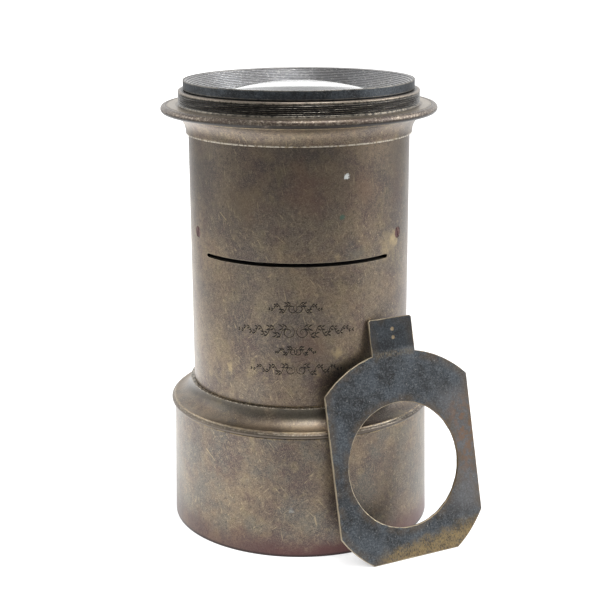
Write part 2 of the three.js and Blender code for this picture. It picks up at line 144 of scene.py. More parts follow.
STOP_HEADING = math.radians(26.67)
STOP_LEAN = math.radians(14.6)
STOP_FOOT = (46.2, -54.0, 0.001)
STOP_THICKNESS = 0.95
STOP_HALF_WIDTH = 32.7
STOP_FOOT_HALF_WIDTH = 19.6
STOP_SIDE_BOTTOM = 13.3
STOP_CORNER_CURVE = 46
STOP_TOP_RADIUS = 45.9
STOP_TOP_CENTRE = 37.3
STOP_TAB_HALF_WIDTH = 9.85
STOP_TAB_TOP = 96.5
STOP_TAB_CORNER = 0.7
STOP_HOLE_RADIUS = 25
STOP_HOLE_CENTRE = (-1, 37.6)
STOP_CHAMFER = 0.14
STOP_GRID = 1.6
STOP_STEP = 0.8
PIP_HEIGHTS = (88.6, 92.0)
PLATE_PLACES = "plate"

# ------------ mesh tools


def make_object(name, bm, at=None):
    """An object from a bmesh, on the lens axis or at a matrix, smooth with sharp corners kept."""
    mesh = bpy.data.meshes.new(name)
    bm.to_mesh(mesh)
    bm.free()
    mesh.validate()
    mesh.shade_smooth()
    mesh.set_sharp_from_angle(angle=math.radians(40))
    return link(name, mesh, Matrix.Translation(AXIS) if at is None else at)


def link(name, data, matrix):
    """A new object in the scene."""
    obj = bpy.data.objects.new(name, data)
    obj.matrix_world = matrix
    bpy.context.scene.collection.objects.link(obj)
    return obj


def fractions(count):
    """Even steps from 0 to 1."""
    return [i / count for i in range(count + 1)]


def at_angles(centre, radius, angles):
    """Points round a centre, at angles in radians from the first axis."""
    return [(centre[0] + radius * math.cos(a), centre[1] + radius * math.sin(a)) for a in angles]


def arc(centre, radius, start, end, steps=16):
    """Points (radius, height) along an arc; angles in degrees from the +radius direction."""
    angles = [math.radians(start + (end - start) * i / steps) for i in range(steps + 1)]
    return at_angles(centre, radius, angles)


def circle(radius, count, centre=(0, 0)):
    """Points round a circle, anticlockwise."""
    return at_angles(centre, radius, [2 * math.pi * i / count for i in range(count)])


def rounded(points, radius):
    """A closed profile with its corners rounded, as (radius, height, wear).

    The profile runs anticlockwise. Outside corners are marked as worn, hollow ones are not,
    and a plain point beside each corner keeps the wear close to it.
    """
    result = []
    count = len(points)
    for i, point in enumerate(points):
        here = Vector(point)
        before = Vector(points[i - 1]) - here
        after = Vector(points[(i + 1) % count]) - here
        if 180 - math.degrees(before.angle(after, math.pi)) < GENTLE_TURN:
            result.append((here.x, here.y, 0.0))
            continue
        wear = 1.0 if before.y * after.x - before.x * after.y > 0 else 0.0
        reach = min(radius, before.length * 0.4, after.length * 0.4)
        start = here + before.normalized() * reach
        end = here + after.normalized() * reach
        if before.length > 2 * (reach + WEAR_SPREAD):
            result.append((*(start + before.normalized() * WEAR_SPREAD), 0.0))
        for t in fractions(ROUND_STEPS):
            bent = start.lerp(here, t).lerp(here.lerp(end, t), t)
            result.append((bent.x, bent.y, wear))
        if after.length > 2 * (reach + WEAR_SPREAD):
            result.append((*(end + after.normalized() * WEAR_SPREAD), 0.0))
    return result


def between(start, end, step):
    """Plain profile points that split the line between two points into short steps."""
    a, b = Vector(start), Vector(end)
    pieces = max(1, round((b - a).length / step))
    return [(*a.lerp(b, k / pieces), 0.0) for k in range(1, pieces)]


def with_rows(profile, radius, step):
    """The profile with every stretch of wall at that radius split into short steps."""
    result = []
    for point, following in zip(profile, profile[1:] + profile[:1]):
        result.append(point)
        if abs(point[0] - radius) < CLOSE and abs(following[0] - radius) < CLOSE:
            result += between(point[:2], following[:2], step)
    return result


def turned(name, profile, segments=SEGMENTS, shift=None):
    """A solid of revolution from a profile of (radius, height, wear).

    A profile that starts at radius 0 is closed by the axis, and any other closes on itself.
    shift(angle, radius, height) gives how far a point moves along the radius and upwards.
    """
    rings = [point if len(point) == 3 else (*point, 0.0) for point in profile]
    bm = bmesh.new()
    wear_layer = bm.verts.layers.float.new("wear")
    columns = []
    for s in range(segments):
        angle = 2 * math.pi * s / segments
        column = []
        for radius, height, wear in rings:
            if radius == 0 and s:
                column.append(columns[0][len(column)])
                continue
            dr, dz = shift(angle, radius, height) if shift else (0, 0)
            r = (radius + dr) * MM
            vert = bm.verts.new((r * math.cos(angle), r * math.sin(angle), (height + dz) * MM))
            vert[wear_layer] = wear
            column.append(vert)
        columns.append(column)
    spans = list(zip(range(len(rings)), range(1, len(rings))))
    if rings[0][0] > 0:
        spans.append((len(rings) - 1, 0))
    for s in range(segments):
        left, right = columns[s], columns[(s + 1) % segments]
        for low, high in spans:
            corners = [left[low], right[low], right[high], left[high]]
            unique = list(dict.fromkeys(corners))
            if len(unique) > 2:
                bm.faces.new(unique)
    return make_object(name, bm)


def threaded(name, profile, radius, bottom, top, depth=SCREW_DEPTH, pitch=SCREW_PITCH, step=0.12):
    """A solid of revolution with a right-hand thread cut at that radius between two heights."""

    def shift(angle, r, height):
        if abs(r - radius) > THREAD_REACH or not bottom <= height <= top:
            return 0, 0
        phase = ((height - bottom) / pitch - angle / (2 * math.pi)) % 1
        ridge = 1 - abs(2 * phase - 1)
        runout = min(1, (height - bottom) / pitch, (top - height) / pitch)
        return -depth * runout * min(1, THREAD_FLANK * (1 - ridge)), 0

    return turned(name, with_rows(profile, radius, step), shift=shift)


def blacken_inside(obj, inner_radius):
    """Paints the faces that look at the axis, inside that radius, matt black."""
    obj.data.materials.append(INSIDE_BLACK)
    for face in obj.data.polygons:
        flat = Vector((face.center.x, face.center.y, 0))
        if flat.length < inner_radius * MM and face.normal.dot(flat.normalized()) < -0.3:
            face.material_index = 1


def cut_away(obj, tools):
    """Subtracts each tool object from obj and removes the tools."""
    for tool in tools:
        modifier = obj.modifiers.new("cut", "BOOLEAN")
        modifier.operation = "DIFFERENCE"
        modifier.solver = "EXACT"
        modifier.object = tool
        bpy.context.view_layer.update()
        evaluated = obj.evaluated_get(bpy.context.evaluated_depsgraph_get())
        cut = bpy.data.meshes.new_from_object(evaluated)
        obj.modifiers.remove(modifier)
        obj.data = cut
        bpy.data.objects.remove(tool)
    obj.data.set_sharp_from_angle(angle=math.radians(35))


def prism(name, outline, depth, at):
    """A plain solid with that (x, y) outline and depth, used as a cutting tool."""
    bm = bmesh.new()
    low = [bm.verts.new((x * MM, y * MM, 0)) for x, y in outline]
    high = [bm.verts.new((x * MM, y * MM, depth * MM)) for x, y in outline]
    bm.faces.new(low[::-1])
    bm.faces.new(high)
    for i in range(len(outline)):
        j = (i + 1) % len(outline)
        bm.faces.new((low[i], low[j], high[j], high[i]))
    return make_object(name, bm, at)


def outward(azimuth, height, radius):
    """A matrix on the lens at that azimuth from the -Y side, in degrees: its X runs to the right
    round the barrel, its Y runs up and its Z points outwards."""
    turn = Matrix.Rotation(math.radians(azimuth), 4, "Z")
    upright = Matrix.Rotation(math.pi / 2, 4, "X")
    place = Matrix.Translation((0, -radius * MM, height * MM))
    return Matrix.Translation(AXIS) @ turn @ place @ upright


# ------------ node tools


def srgb(red, green, blue):
    """A colour given as 0 to 255 screen values, in the linear values that shaders use."""
    values = [c / 255 for c in (red, green, blue)]
    return [c / 12.92 if c <= 0.04045 else ((c + 0.055) / 1.055) ** 2.4 for c in values] + [1]


class Value:
    """A number or a colour that runs through a node tree."""

    def __init__(self, nodes, socket):
        self.nodes = nodes
        self.socket = socket

    def __add__(self, other):
        return self.nodes.math("ADD", self, other)

    def __sub__(self, other):
        return self.nodes.math("SUBTRACT", self, other)

    def __mul__(self, other):
        return self.nodes.math("MULTIPLY", self, other)

    def __truediv__(self, other):
        return self.nodes.math("DIVIDE", self, other)

    def __abs__(self):
        return self.nodes.math("ABSOLUTE", self)

    def scaled(self, factor, plus):
        """The number times a factor, plus another number."""
        return self.nodes.math("MULTIPLY_ADD", self, factor, plus)

    def ramp(self, low, high):
        """0 below low, 1 above high and smooth between. low may be the larger."""
        ends = (0.0, 1.0) if low < high else (1.0, 0.0)
        names = ("Value", "From Min", "From Max", "To Min", "To Max")
        inputs = dict(zip(names, (self, min(low, high), max(low, high), *ends)))
        return self.nodes.add("MapRange", inputs, interpolation_type="SMOOTHSTEP")


class Tree:
    """The node tree of a material or world, built with short calls."""

    def __init__(self, owner):
        owner.use_nodes = True
        self.tree = owner.node_tree
        self.tree.nodes.clear()

    def add(self, kind, inputs, output=0, **settings):
        """Adds a node with those settings and inputs, and gives one of its outputs."""
        node = self.tree.nodes.new("ShaderNode" + kind)
        for name, value in settings.items():
            setattr(node, name, value)
        for name, value in inputs.items():
            if isinstance(value, Value):
                self.tree.links.new(value.socket, node.inputs[name])
            else:
                node.inputs[name].default_value = value
        return Value(self, node.outputs[output]) if node.outputs else None

    def math(self, operation, *values):
        return self.add("Math", dict(enumerate(values)), operation=operation)

    def vector(self, operation, a, b, output=0):
        return self.add("VectorMath", {0: a, 1: b}, output, operation=operation)

    def highest(self, first, *others):
        for other in others:
            first = self.math("MAXIMUM", first, other)
        return first

    def seen(self):
        """1 where the camera sees it directly, and 0 in reflections and in its light."""
        return self.add("LightPath", {}, "Is Camera Ray")


class Nodes(Tree):
    """The node tree of a new material.

    Places are in millimetres: the object's own, or those that a mesh attribute holds."""

    def __init__(self, name, own_places=None):
        self.material = bpy.data.materials.new(name)
        super().__init__(self.material)
        if own_places:
            coords = self.add("Attribute", {}, "Vector", attribute_name=own_places)
        else:
            coords = self.add("TexCoord", {}, "Object")
        self.place = self.add("VectorMath", {0: coords, "Scale": 1 / MM}, operation="SCALE")
        parts = self.add("SeparateXYZ", {0: self.place}).socket.node.outputs
        self.x, self.y, self.z = (Value(self, part) for part in parts)
        flat = self.add("CombineXYZ", {0: self.x, 1: self.y})
        self.radius = self.length(flat)

    def length(self, vector):
        return self.add("VectorMath", {0: vector}, "Value", operation="LENGTH")

    def noise(self, size, detail, rough=0.55, warp=0.0, seed=0.0, stretch=(1, 1, 1), tilt=0):
        """Noise whose blotches are about size millimetres across, from 0 to 1.

        stretch below 1 draws the blotches out along that axis, and tilt turns them in degrees."""
        moved = self.vector("ADD", self.place, (seed, seed * 1.7, seed * 0.6))
        if tilt:
            inputs = {"Vector": moved, "Angle": math.radians(tilt)}
            moved = self.add("VectorRotate", inputs, rotation_type="Y_AXIS")
        scaled = self.vector("MULTIPLY", moved, tuple(s / size for s in stretch))
        inputs = {"Vector": scaled, "Scale": 1.0, "Detail": detail, "Roughness": rough, "Distortion": warp}
        return self.add("TexNoise", inputs, "Fac")

    def mix(self, amount, a, b):
        return self.add("Mix", {0: amount, 6: a, 7: b}, 2, data_type="RGBA")

    def layered(self, base, *layers, tone=1.0):
        """A colour with others laid over it, each as (amount, colour), and tone dims them all."""

        def shade(color):
            if isinstance(color, Value):
                return color
            return [c * tone for c in srgb(*color)[:3]] + [1]

        result = shade(base)
        for amount, color in layers:
            result = self.mix(amount, result, shade(color))
        return result

    def attribute(self, name):
        return self.add("Attribute", {}, "Fac", attribute_name=name)

    def spot(self, centre, radius, ragged, soft, seed):
        """A blotch with a ragged edge round a point given in the object's millimetres."""
        distance = self.vector("DISTANCE", self.place, centre, "Value")
        wobble = self.noise(radius * 0.8, 3, seed=seed) - 0.5
        return wobble.scaled(2 * ragged * radius, distance).ramp(radius, radius * (1 - soft))

    def streak(self, start, end, width, seed):
        """A thin scratch between two points in the object's millimetres."""
        line = Vector(end) - Vector(start)
        along = line.normalized()
        offset = self.vector("SUBTRACT", self.place, start)
        run = self.vector("DOT_PRODUCT", offset, along, "Value")
        away = self.length(self.vector("CROSS_PRODUCT", offset, along))
        inside = run.ramp(0, 1) * run.ramp(line.length, line.length - 1)
        return away.ramp(width, width * 0.3) * inside * self.noise(1.4, 2, seed=seed).ramp(0.3, 0.5)

    def finish(self, color, roughness, metallic=1.0, bump=None, **others):
        """Ends the tree in its shader, and gives the material.

        bump holds a height, a strength and a depth, and others name more of the shader's inputs."""
        inputs = {"Base Color": color, "Roughness": roughness, "Metallic": metallic}
        inputs.update((name.replace("_", " "), value) for name, value in others.items())
        if bump:
            height, strength, depth = bump
            bumps = {"Height": height, "Strength": strength, "Distance": depth * MM}
            inputs["Normal"] = self.add("Bump", bumps)
        self.add("OutputMaterial", {"Surface": self.add("BsdfPrincipled", inputs)})
        return self.material


def on_lens(azimuth, height, radius=BARREL_RADIUS):
    """A point on the lens's surface, in the millimetres of a piece on the lens axis."""
    a = math.radians(azimuth)
    return (radius * math.sin(a), -radius * math.cos(a), height)


# ------------ materials

WORN_BRASS = (188, 168, 128)
MATT = (0.8, 0.8, 0.8, 1)


def hairlines(nodes, seed):
    """Faint short scratches that run in three directions."""
    sets = []
    for turn, tilt in enumerate((38, -52, 12)):
        lines = nodes.noise(0.75, 1, stretch=(1, 1, 0.07), seed=seed + 7 * turn, tilt=tilt)
        patches = nodes.noise(9, 3, seed=seed + 19 * turn)
        sets.append(lines.ramp(0.66, 0.74) * patches.ramp(0.45, 0.6))
    return nodes.highest(*sets)


def patina(nodes, tone, seed, grey):
    """The mottled brown skin of old brass: its colour, its roughness and its bump height.

    grey says how much of it has turned a cool grey."""
    clouds = nodes.noise(30, 5, 0.62, warp=0.6, seed=seed)
    blotches = nodes.noise(8, 6, 0.66, warp=0.3, seed=seed + 11)
    grain = nodes.noise(1.5, 5, 0.7, seed=seed + 23)
    fine = nodes.noise(0.42, 3, 0.7, seed=seed + 31)
    color = nodes.layered(
        (98, 86, 80), (clouds.ramp(0.38, 0.6), (134, 117, 97)),
        (blotches.ramp(0.53, 0.64) * 0.62, (102, 84, 80)),
        (blotches.ramp(0.47, 0.36) * 0.62, (136, 122, 96)),
        (nodes.noise(19, 5, 0.65, seed=seed + 41).ramp(0.4, 0.6) * grey, (104, 103, 97)),
        (grain.ramp(0.52, 0.72) * 0.6, (166, 148, 122)),
        (grain.ramp(0.48, 0.28) * 0.8, (78, 71, 66)),
        (fine.ramp(0.52, 0.66) * 0.55, (170, 154, 132)),
        (fine.ramp(0.48, 0.33) * 0.65, (56, 51, 48)),
        (hairlines(nodes, seed) * 0.55, (182, 164, 132)), tone=tone)
    return color, blotches.scaled(0.24, 0.34), grain * 0.6 + fine * 0.4


def edge_wear(nodes, amount=0.5, seed=5.0):
    """A layer of brass rubbed pale along the corners that the mesh marks as worn."""
    broken = nodes.noise(1.6, 5, 0.65, seed=seed).ramp(0.42, 0.6)
    return nodes.attribute("wear") * broken * amount, WORN_BRASS


def aged_brass(name, marks, seed, tone=1.0, grey=0.3):
    """Old lacquered brass. marks(nodes) gives the piece's own layers, and a matt patch or None."""
    nodes = Nodes(name)
    color, roughness, height = patina(nodes, tone, seed, grey)
    layers, matt = marks(nodes)
    color = nodes.layered(color, edge_wear(nodes, seed=seed + 5), *layers)
    if matt:
        roughness = nodes.mix(matt, roughness, MATT)
    return nodes.finish(color, roughness, bump=(height, 0.4, 0.06),
                        Coat_Weight=0.5, Coat_Roughness=0.35)


def scratches(nodes, radius, lines):
    """Thin scratches at that radius, each as (azimuth, height), (azimuth, height), width, seed."""
    return nodes.highest(*(
        nodes.streak(on_lens(*start, radius), on_lens(*end, radius), width, seed)
        for start, end, width, seed in lines))


def collar_marks(nodes):
    """The collar's blackened thread with crests painted pale as glints, a painted highlight on the flange
    top and a painted shadow under the flange.
    """
    z, radius, noise = nodes.z, nodes.radius, nodes.noise
    # painted highlight: the thread's crests are painted pale as glints
    crest = radius.ramp(NECK_RADIUS - 0.2, NECK_RADIUS - 0.03)
    chipped = noise(1.3, 5, 0.7, seed=9).ramp(0.4, 0.58)
    land = (z.ramp(THREAD_TOP, THREAD_TOP + 0.3) * radius.ramp(NECK_RADIUS - 1.5, NECK_RADIUS - 0.8)
            * noise(1.0, 4, seed=12).ramp(0.25, 0.5))
    neck = nodes.layered(
        (34, 34, 34), (noise(1.2, 4, seed=3), (66, 62, 58)),
        (crest * chipped * 0.75, (164, 156, 142)), (land * 0.8, (146, 134, 120)))
    on_neck = radius.ramp(49.7, 49.3) * z.ramp(175.0, 175.2)
    outer = radius.ramp(53.2, 54.2) * z.ramp(171.6, 172.0)
    stained = outer * noise(2.2, 5, 0.65, seed=29).ramp(0.4, 0.56)
    speckle = noise(0.8, 4, 0.7, seed=31).ramp(0.5, 0.62) * outer
    groove = abs(radius - FLANGE_GROOVE).ramp(0.32, 0.1) * z.ramp(174.4, 174.6)
    # painted highlight: the flange's top face is painted pale where light falls on it
    painted_top_highlight = z.ramp(175.0, 175.08) * radius.ramp(53.3, 52.6) * radius.ramp(49.6, 50.2)
    # painted shadow: the top of the bell under the flange's overhang is painted dark
    painted_flange_shadow = z.ramp(173.5, 172.9) * z.ramp(170.9, 171.3) * noise(3, 4, seed=35).ramp(0.1, 0.4)
    lip = z.ramp(COLLAR_LIP + 0.75, COLLAR_LIP + 0.35) * noise(0.9, 4, seed=40).ramp(0.38, 0.56)
    return [
        (on_neck, neck), (outer * 0.45, (70, 62, 58)), (stained * 0.7, (80, 67, 60)),
        (speckle * 0.6, (184, 172, 156)), (groove * 0.7, (50, 44, 40)),
        (painted_top_highlight * 0.6, (184, 174, 158)), (painted_flange_shadow * 0.95, (38, 34, 32)), (lip * 0.85, (214, 206, 190)),
    ], None


def mount_marks(nodes):
    """Painted shade in the top of the cove, a painted highlight low down on it, a painted highlight along
    the bead's top, and a dark bead.
    """
    z, noise = nodes.z, nodes.noise
    # painted shade: the top of the cove is painted dark where it turns away from the light
    high = z.ramp(54.2, 57.4) * noise(8, 4, seed=2).ramp(0.15, 0.5)
    # painted highlight: the cove is painted pale low down where it faces up, fading out towards the right
    low = z.ramp(56.5, 53.6) * noise(11, 4, seed=6).ramp(0.35, 0.6) * nodes.x.ramp(34, 10)
    bead = z.ramp(BEAD_TOP + 0.1, BEAD_TOP - 0.3)
    flecks = noise(0.9, 4, 0.7, seed=14).ramp(0.46, 0.62)
    # painted highlight: a pale line along the top of the bead
    painted_bead_highlight = z.ramp(51.7, 52.0) * z.ramp(52.9, 52.5) * flecks
    ledge = z.ramp(SEAM_HEIGHT - 0.3, SEAM_HEIGHT - 0.12) * flecks
    return [
        (high * 0.65, (76, 73, 64)), (low * 0.38, (172, 152, 126)), (bead * 0.75, (84, 76, 68)),
        (painted_bead_highlight * 0.55, (186, 176, 158)), (ledge * 0.9, (226, 216, 198)),
    ], None


def barrel_marks(nodes):
    """Rubbed spots, stains, verdigris, a fleck of paint and scratches on the barrel, and a painted shade
    that darkens its upper part under the flange.
    """
    rubs = (
        (50, 121.5, 7.0, 0.4), (56, 124.5, 4.6, 0.75), (20, 82, 3.0, 0.55),
        (-38, 74, 2.8, 0.5), (9, 73.5, 2.2, 0.35), (19, 120.5, 1.8, 0.3),
        (150, 110, 5.0, 0.5), (-140, 90, 4.0, 0.5), (100, 80, 3.5, 0.5),
    )
    stains = (
        (-28, 140, 17, (128, 110, 82)), (3, 145, 13, (118, 84, 70)), (6, 84, 14, (124, 92, 74)),
        (29, 121.5, 6, (84, 98, 100)), (34, 147, 9, (110, 82, 72)), (-170, 130, 15, (122, 94, 76)),
    )
    layers = []
    for index, (azimuth, height, radius, amount) in enumerate(rubs):
        rub = nodes.spot(on_lens(azimuth, height), radius, 1.4, 1.0, seed=index * 3.1)
        layers.append((rub * amount, WORN_BRASS))
    # painted shade: the barrel is painted darker towards its top, under the flange
    layers.append((nodes.z.ramp(118, 158) * 0.42, (60, 52, 48)))
    for index, (azimuth, height, radius, color) in enumerate(stains):
        stain = nodes.spot(on_lens(azimuth, height), radius, 1.0, 1.0, seed=51 + 6 * index)
        layers.append((stain * 0.32, color))
    verdigris = nodes.spot(on_lens(21.6, 136.3), 1.5, 0.7, 0.6, seed=41)
    paint = nodes.spot(on_lens(23.7, 151.7), 1.3, 0.9, 0.3, seed=17)
    scratched = scratches(nodes, BARREL_RADIUS, (
        ((-44, 137), (-38.5, 133.5), 0.22, 3), ((2, 148), (12, 140), 0.12, 7),
        ((-12, 130), (-6, 126), 0.14, 9), ((120, 100), (126, 92), 0.2, 13)))
    near_slot = (abs(nodes.z - SLOT_HEIGHT).ramp(1.1, 0.75) * abs(nodes.x + 1.5).ramp(35.4, 34.8)
                 * nodes.y.ramp(-10, -20))
    lip = near_slot * nodes.noise(6, 3, seed=8).ramp(0.3, 0.55)
    layers += [(verdigris * 0.8, (72, 104, 90)), (paint, (214, 216, 214)),
               (scratched * 0.7, WORN_BRASS), (lip * 0.5, (200, 190, 170))]
    return layers, paint


def hood_marks(nodes):
    """The reddish stain round the hood's mouth, its scratches, a bluish fleck, a painted shadow behind the
    stop and a painted shade along its bottom rim.
    """
    ragged = nodes.noise(14, 4, seed=3).scaled(12.0, nodes.z)
    stain = ragged.ramp(18, 7.5) * nodes.x.ramp(-45, 5).scaled(0.4, 0.5)
    # painted shadow: the hood is painted darker behind the stop
    painted_stop_shadow = nodes.spot(on_lens(34, 28, HOOD_NECK_RADIUS), 20, 0.8, 1.0, seed=71)
    scratched = scratches(nodes, HOOD_NECK_RADIUS, (
        ((-45.7, 40.5), (-39.5, 36), 0.42, 3), ((-31, 33.5), (-26, 30.5), 0.36, 5),
        ((150, 30), (158, 22), 0.4, 8)))
    fleck = nodes.spot(on_lens(-4, 20, HOOD_NECK_RADIUS), 1.5, 0.9, 0.7, seed=4)
    return [
        (stain, (88, 54, 54)), (painted_stop_shadow * 0.35, (84, 75, 68)),
        # painted shade: the bottom rim is painted dark where it meets the table
        (nodes.z.ramp(1.5, 0.5) * 0.85, (44, 34, 34)), (scratched * 0.65, WORN_BRASS),
        (fleck * 0.45, (150, 158, 160)),
    ], None


def blackened(nodes, seed, tone=1.0):
    """Chemically blackened brass: blue-black with paler, scuffed clouds."""
    clouds = nodes.noise(15, 5, 0.62, warp=0.5, seed=seed)
    blotches = nodes.noise(4.0, 6, 0.7, warp=0.3, seed=seed + 7)
    grain = nodes.noise(0.6, 4, 0.7, seed=seed + 13)
    specks = nodes.noise(0.9, 2, 0.5, seed=seed + 29).ramp(0.7, 0.76)
    color = nodes.layered(
        (67, 69, 71), (clouds.ramp(0.4, 0.62), (84, 89, 94)),
        (blotches.ramp(0.52, 0.68) * 0.5, (102, 107, 111)), (blotches.ramp(0.44, 0.3) * 0.7, (56, 54, 53)),
        (grain.ramp(0.5, 0.66) * 0.45, (132, 136, 140)), (grain.ramp(0.48, 0.32) * 0.6, (38, 38, 41)),
        (specks * 0.6, (176, 174, 168)), tone=tone)
    return color, blotches.scaled(0.25, 0.36), grain


def blackened_brass(name, seed, tone):
    """Blackened brass, rubbed pale on its corners."""
    nodes = Nodes(name)
    color, roughness, grain = blackened(nodes, seed, tone)
    rubbed = nodes.attribute("wear") * nodes.noise(2.5, 5, seed=seed).ramp(0.25, 0.6)
    color = nodes.layered(color, (rubbed * 0.6, (158, 152, 142)))
    return nodes.finish(color, roughness, bump=(grain, 0.3, 0.05))


def grooved_mouth(name):
    """The blackened cone round the rear glass, toned lighter as painted light, with a painted highlight on
    the crest of every turned groove, painted shade in its troughs and painted glints.
    """
    nodes = Nodes(name)
    # painted light: this copy of the blackened colour is toned far lighter than the other blackened pieces
    color, _, grain = blackened(nodes, 30.0, 2.4)
    angle = nodes.math("ARCTAN2", nodes.y, nodes.x) / (2 * math.pi)
    pitch = (REAR_MOUTH_LIP - REAR_MOUTH_RADIUS) / groove_count()
    turns = (nodes.radius - REAR_MOUTH_RADIUS) / pitch
    phase = nodes.math("FRACT", turns + angle + 64.0)
    crest = abs(phase.scaled(2.0, -1.0))
    # painted highlight on each groove's crest, painted shade in its trough, and glints painted as pale
    # specks
    line = crest.ramp(0.45, 0.8) * nodes.noise(1.2, 4, seed=3).ramp(0.2, 0.5)
    glints = nodes.noise(0.7, 4, 0.7, seed=44).ramp(0.54, 0.66)
    color = nodes.layered(
        color, (0.6, (142, 140, 140)), (line * 0.8, (214, 212, 210)),
        (crest.ramp(0.4, 0.1) * 0.7, (58, 57, 58)), (glints * 0.6, (228, 226, 222)))
    return nodes.finish(color, 0.42, bump=(grain, 0.3, 0.05))


def matt_black(name):
    """The dead black paint inside the tubes, with brown thin spots."""
    nodes = Nodes(name)
    grain = nodes.noise(0.7, 3, seed=4)
    thin = nodes.noise(7, 4).ramp(0.5, 0.75)
    color = nodes.layered((30, 29, 29), (thin, (58, 50, 42)))
    return nodes.finish(color, grain.scaled(0.2, 0.6), 0.0, bump=(grain, 0.4, 0.08))


def tarnished_screw(name):
    """The reddish tarnish of the guide screws."""
    nodes = Nodes(name)
    mottle = nodes.noise(1.1, 4, seed=2)
    color = nodes.layered((92, 62, 64), (mottle.ramp(0.4, 0.65), (122, 92, 88)), edge_wear(nodes, 0.1))
    return nodes.finish(color, 0.42, bump=(mottle, 0.3, 0.05))


def machined_brass(name):
    """Brass that the thread has kept clean."""
    nodes = Nodes(name)
    mottle = nodes.noise(5, 4, seed=6)
    rings = nodes.noise(0.5, 2, stretch=(0.02, 0.02, 1), seed=3)
    color = nodes.layered((176, 146, 92), (mottle.ramp(0.4, 0.65), (140, 116, 80)), edge_wear(nodes))
    return nodes.finish(color, rings.scaled(0.2, 0.24), bump=(rings, 0.3, 0.03))


def engraving_fill(name):
    """The dirt that has settled in the engraved lines."""
    nodes = Nodes(name)
    grain = nodes.noise(0.8, 3, seed=1)
    color = nodes.layered((34, 31, 29), (grain.ramp(0.4, 0.7), (70, 62, 55)))
    return nodes.finish(color, 0.6, 0.6, bump=(grain, 0.3, 0.04))


def cut_edge(name):
    """The lower lip of every engraved line, where the brass catches the light."""
    nodes = Nodes(name)
    grain = nodes.noise(0.9, 4, 0.7, seed=4)
    color = nodes.layered((112, 98, 84), (grain.ramp(0.4, 0.6), (164, 150, 126)))
    return nodes.finish(color, 0.4, bump=(grain, 0.3, 0.04))


def optical_glass(name):
    """Clear old crown glass with a trace of dust."""
    nodes = Nodes(name)
    dust = nodes.noise(1.6, 4, seed=9).ramp(0.6, 0.85)
    film = nodes.noise(22, 4, seed=12).ramp(0.4, 0.8)
    roughness = film.scaled(0.05, dust.scaled(0.05, 0.02))
    color = nodes.layered((248, 250, 248), (dust * 0.4, (226, 226, 220)))
    return nodes.finish(color, roughness, 0.0, Transmission_Weight=1.0, IOR=1.52)


def stop_brass(name):
    """The stop plate: blackened, with bare brass along its edges, a rubbed foot and a painted light on its
    right side.
    """
    nodes = Nodes(name, PLATE_PLACES)
    color, roughness, grain = blackened(nodes, 2.0)
    across, up, noise = nodes.x, nodes.y, nodes.noise
    edge = nodes.attribute("edge")
    # painted light: the plate's right side is painted paler where the light falls
    painted_side_light = across.ramp(8, 30) * up.ramp(8, 20) * up.ramp(70, 58)
    browned = (across.ramp(17, 29) * up.ramp(66, 52) * up.ramp(20, 40)
               * noise(2.6, 5, 0.7, seed=19).ramp(0.44, 0.58))
    near_edge = edge.ramp(4.5, 0.5) * noise(5, 4, seed=33).ramp(0.35, 0.6)
    streaks = noise(0.4, 3, 0.7, stretch=(1, 0.4, 1), seed=21)
    patches = noise(3.5, 4, seed=24)
    ragged = noise(5, 4, seed=15).scaled(8.0, up)
    foot = (ragged - across.scaled(0.14, 7.6)).ramp(5.0, -1.0)
    brushed = streaks * 0.75 + patches * 0.25
    band = foot * across.ramp(-20, -10) * brushed.ramp(0.4, 0.56)
    shoulder = STOP_TOP_CENTRE + STOP_TOP_RADIUS
    scuff = (abs(up - (shoulder - 1.0)).ramp(2.0, 0.2) * abs(across).ramp(STOP_TAB_HALF_WIDTH, 7)
             * streaks.ramp(0.42, 0.62))
    broken = noise(3.0, 5, seed=27).scaled(0.9, -0.3)
    rubbed = (edge - broken).ramp(0.22, 0.0)
    rub_color = nodes.layered((190, 176, 150), (across.ramp(-10, 20), (150, 130, 100)))
    pips = nodes.highest(*(pip(nodes, height) for height in PIP_HEIGHTS))
    color = nodes.layered(
        color, (painted_side_light * 0.4, (134, 130, 128)), (browned * 0.75, (126, 100, 80)),
        (near_edge * 0.5, (104, 90, 74)), (foot * across.ramp(-22, -10) * 0.5, (96, 84, 66)),
        (band * 0.72, (158, 137, 98)), (scuff * 0.55, (138, 124, 100)),
        (up.ramp(shoulder, shoulder + 2) * 0.55, (44, 46, 48)), (rubbed * 0.7, rub_color),
        (pips * 0.6, (168, 148, 116)))
    height = grain * 0.5 - pips * 2.0
    return nodes.finish(color, roughness, bump=(height, 0.4, 0.07))


def pip(nodes, height):
    """A small round punch mark on the tab's front face."""
    front = nodes.z.ramp(STOP_THICKNESS * 0.4, STOP_THICKNESS * 0.6)
    return nodes.spot((0.6, height, STOP_THICKNESS), 0.95, 0.3, 0.4, seed=height) * front


# ------------ pieces


def place(obj, body, slot, material, *replaced):
    """Gives a piece its material, and makes it ride in the place of CAD nodes. slot is not used."""
    obj.data.materials.clear()
    obj.data.materials.append(material)
    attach(obj, body)
    if replaced:
        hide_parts(*replaced)
    return obj


def hood():
    inner = HOOD_NECK_RADIUS - HOOD_WALL
    return turned("hood", rounded([
        (HOOD_MOUTH_RADIUS - HOOD_WALL, HOOD_BOTTOM), (HOOD_MOUTH_RADIUS, HOOD_BOTTOM),
        (HOOD_NECK_RADIUS, HOOD_FLARE_TOP), (HOOD_NECK_RADIUS, HOOD_TOP),
        (inner, HOOD_TOP), (inner, HOOD_FLARE_TOP),
    ], 0.3))


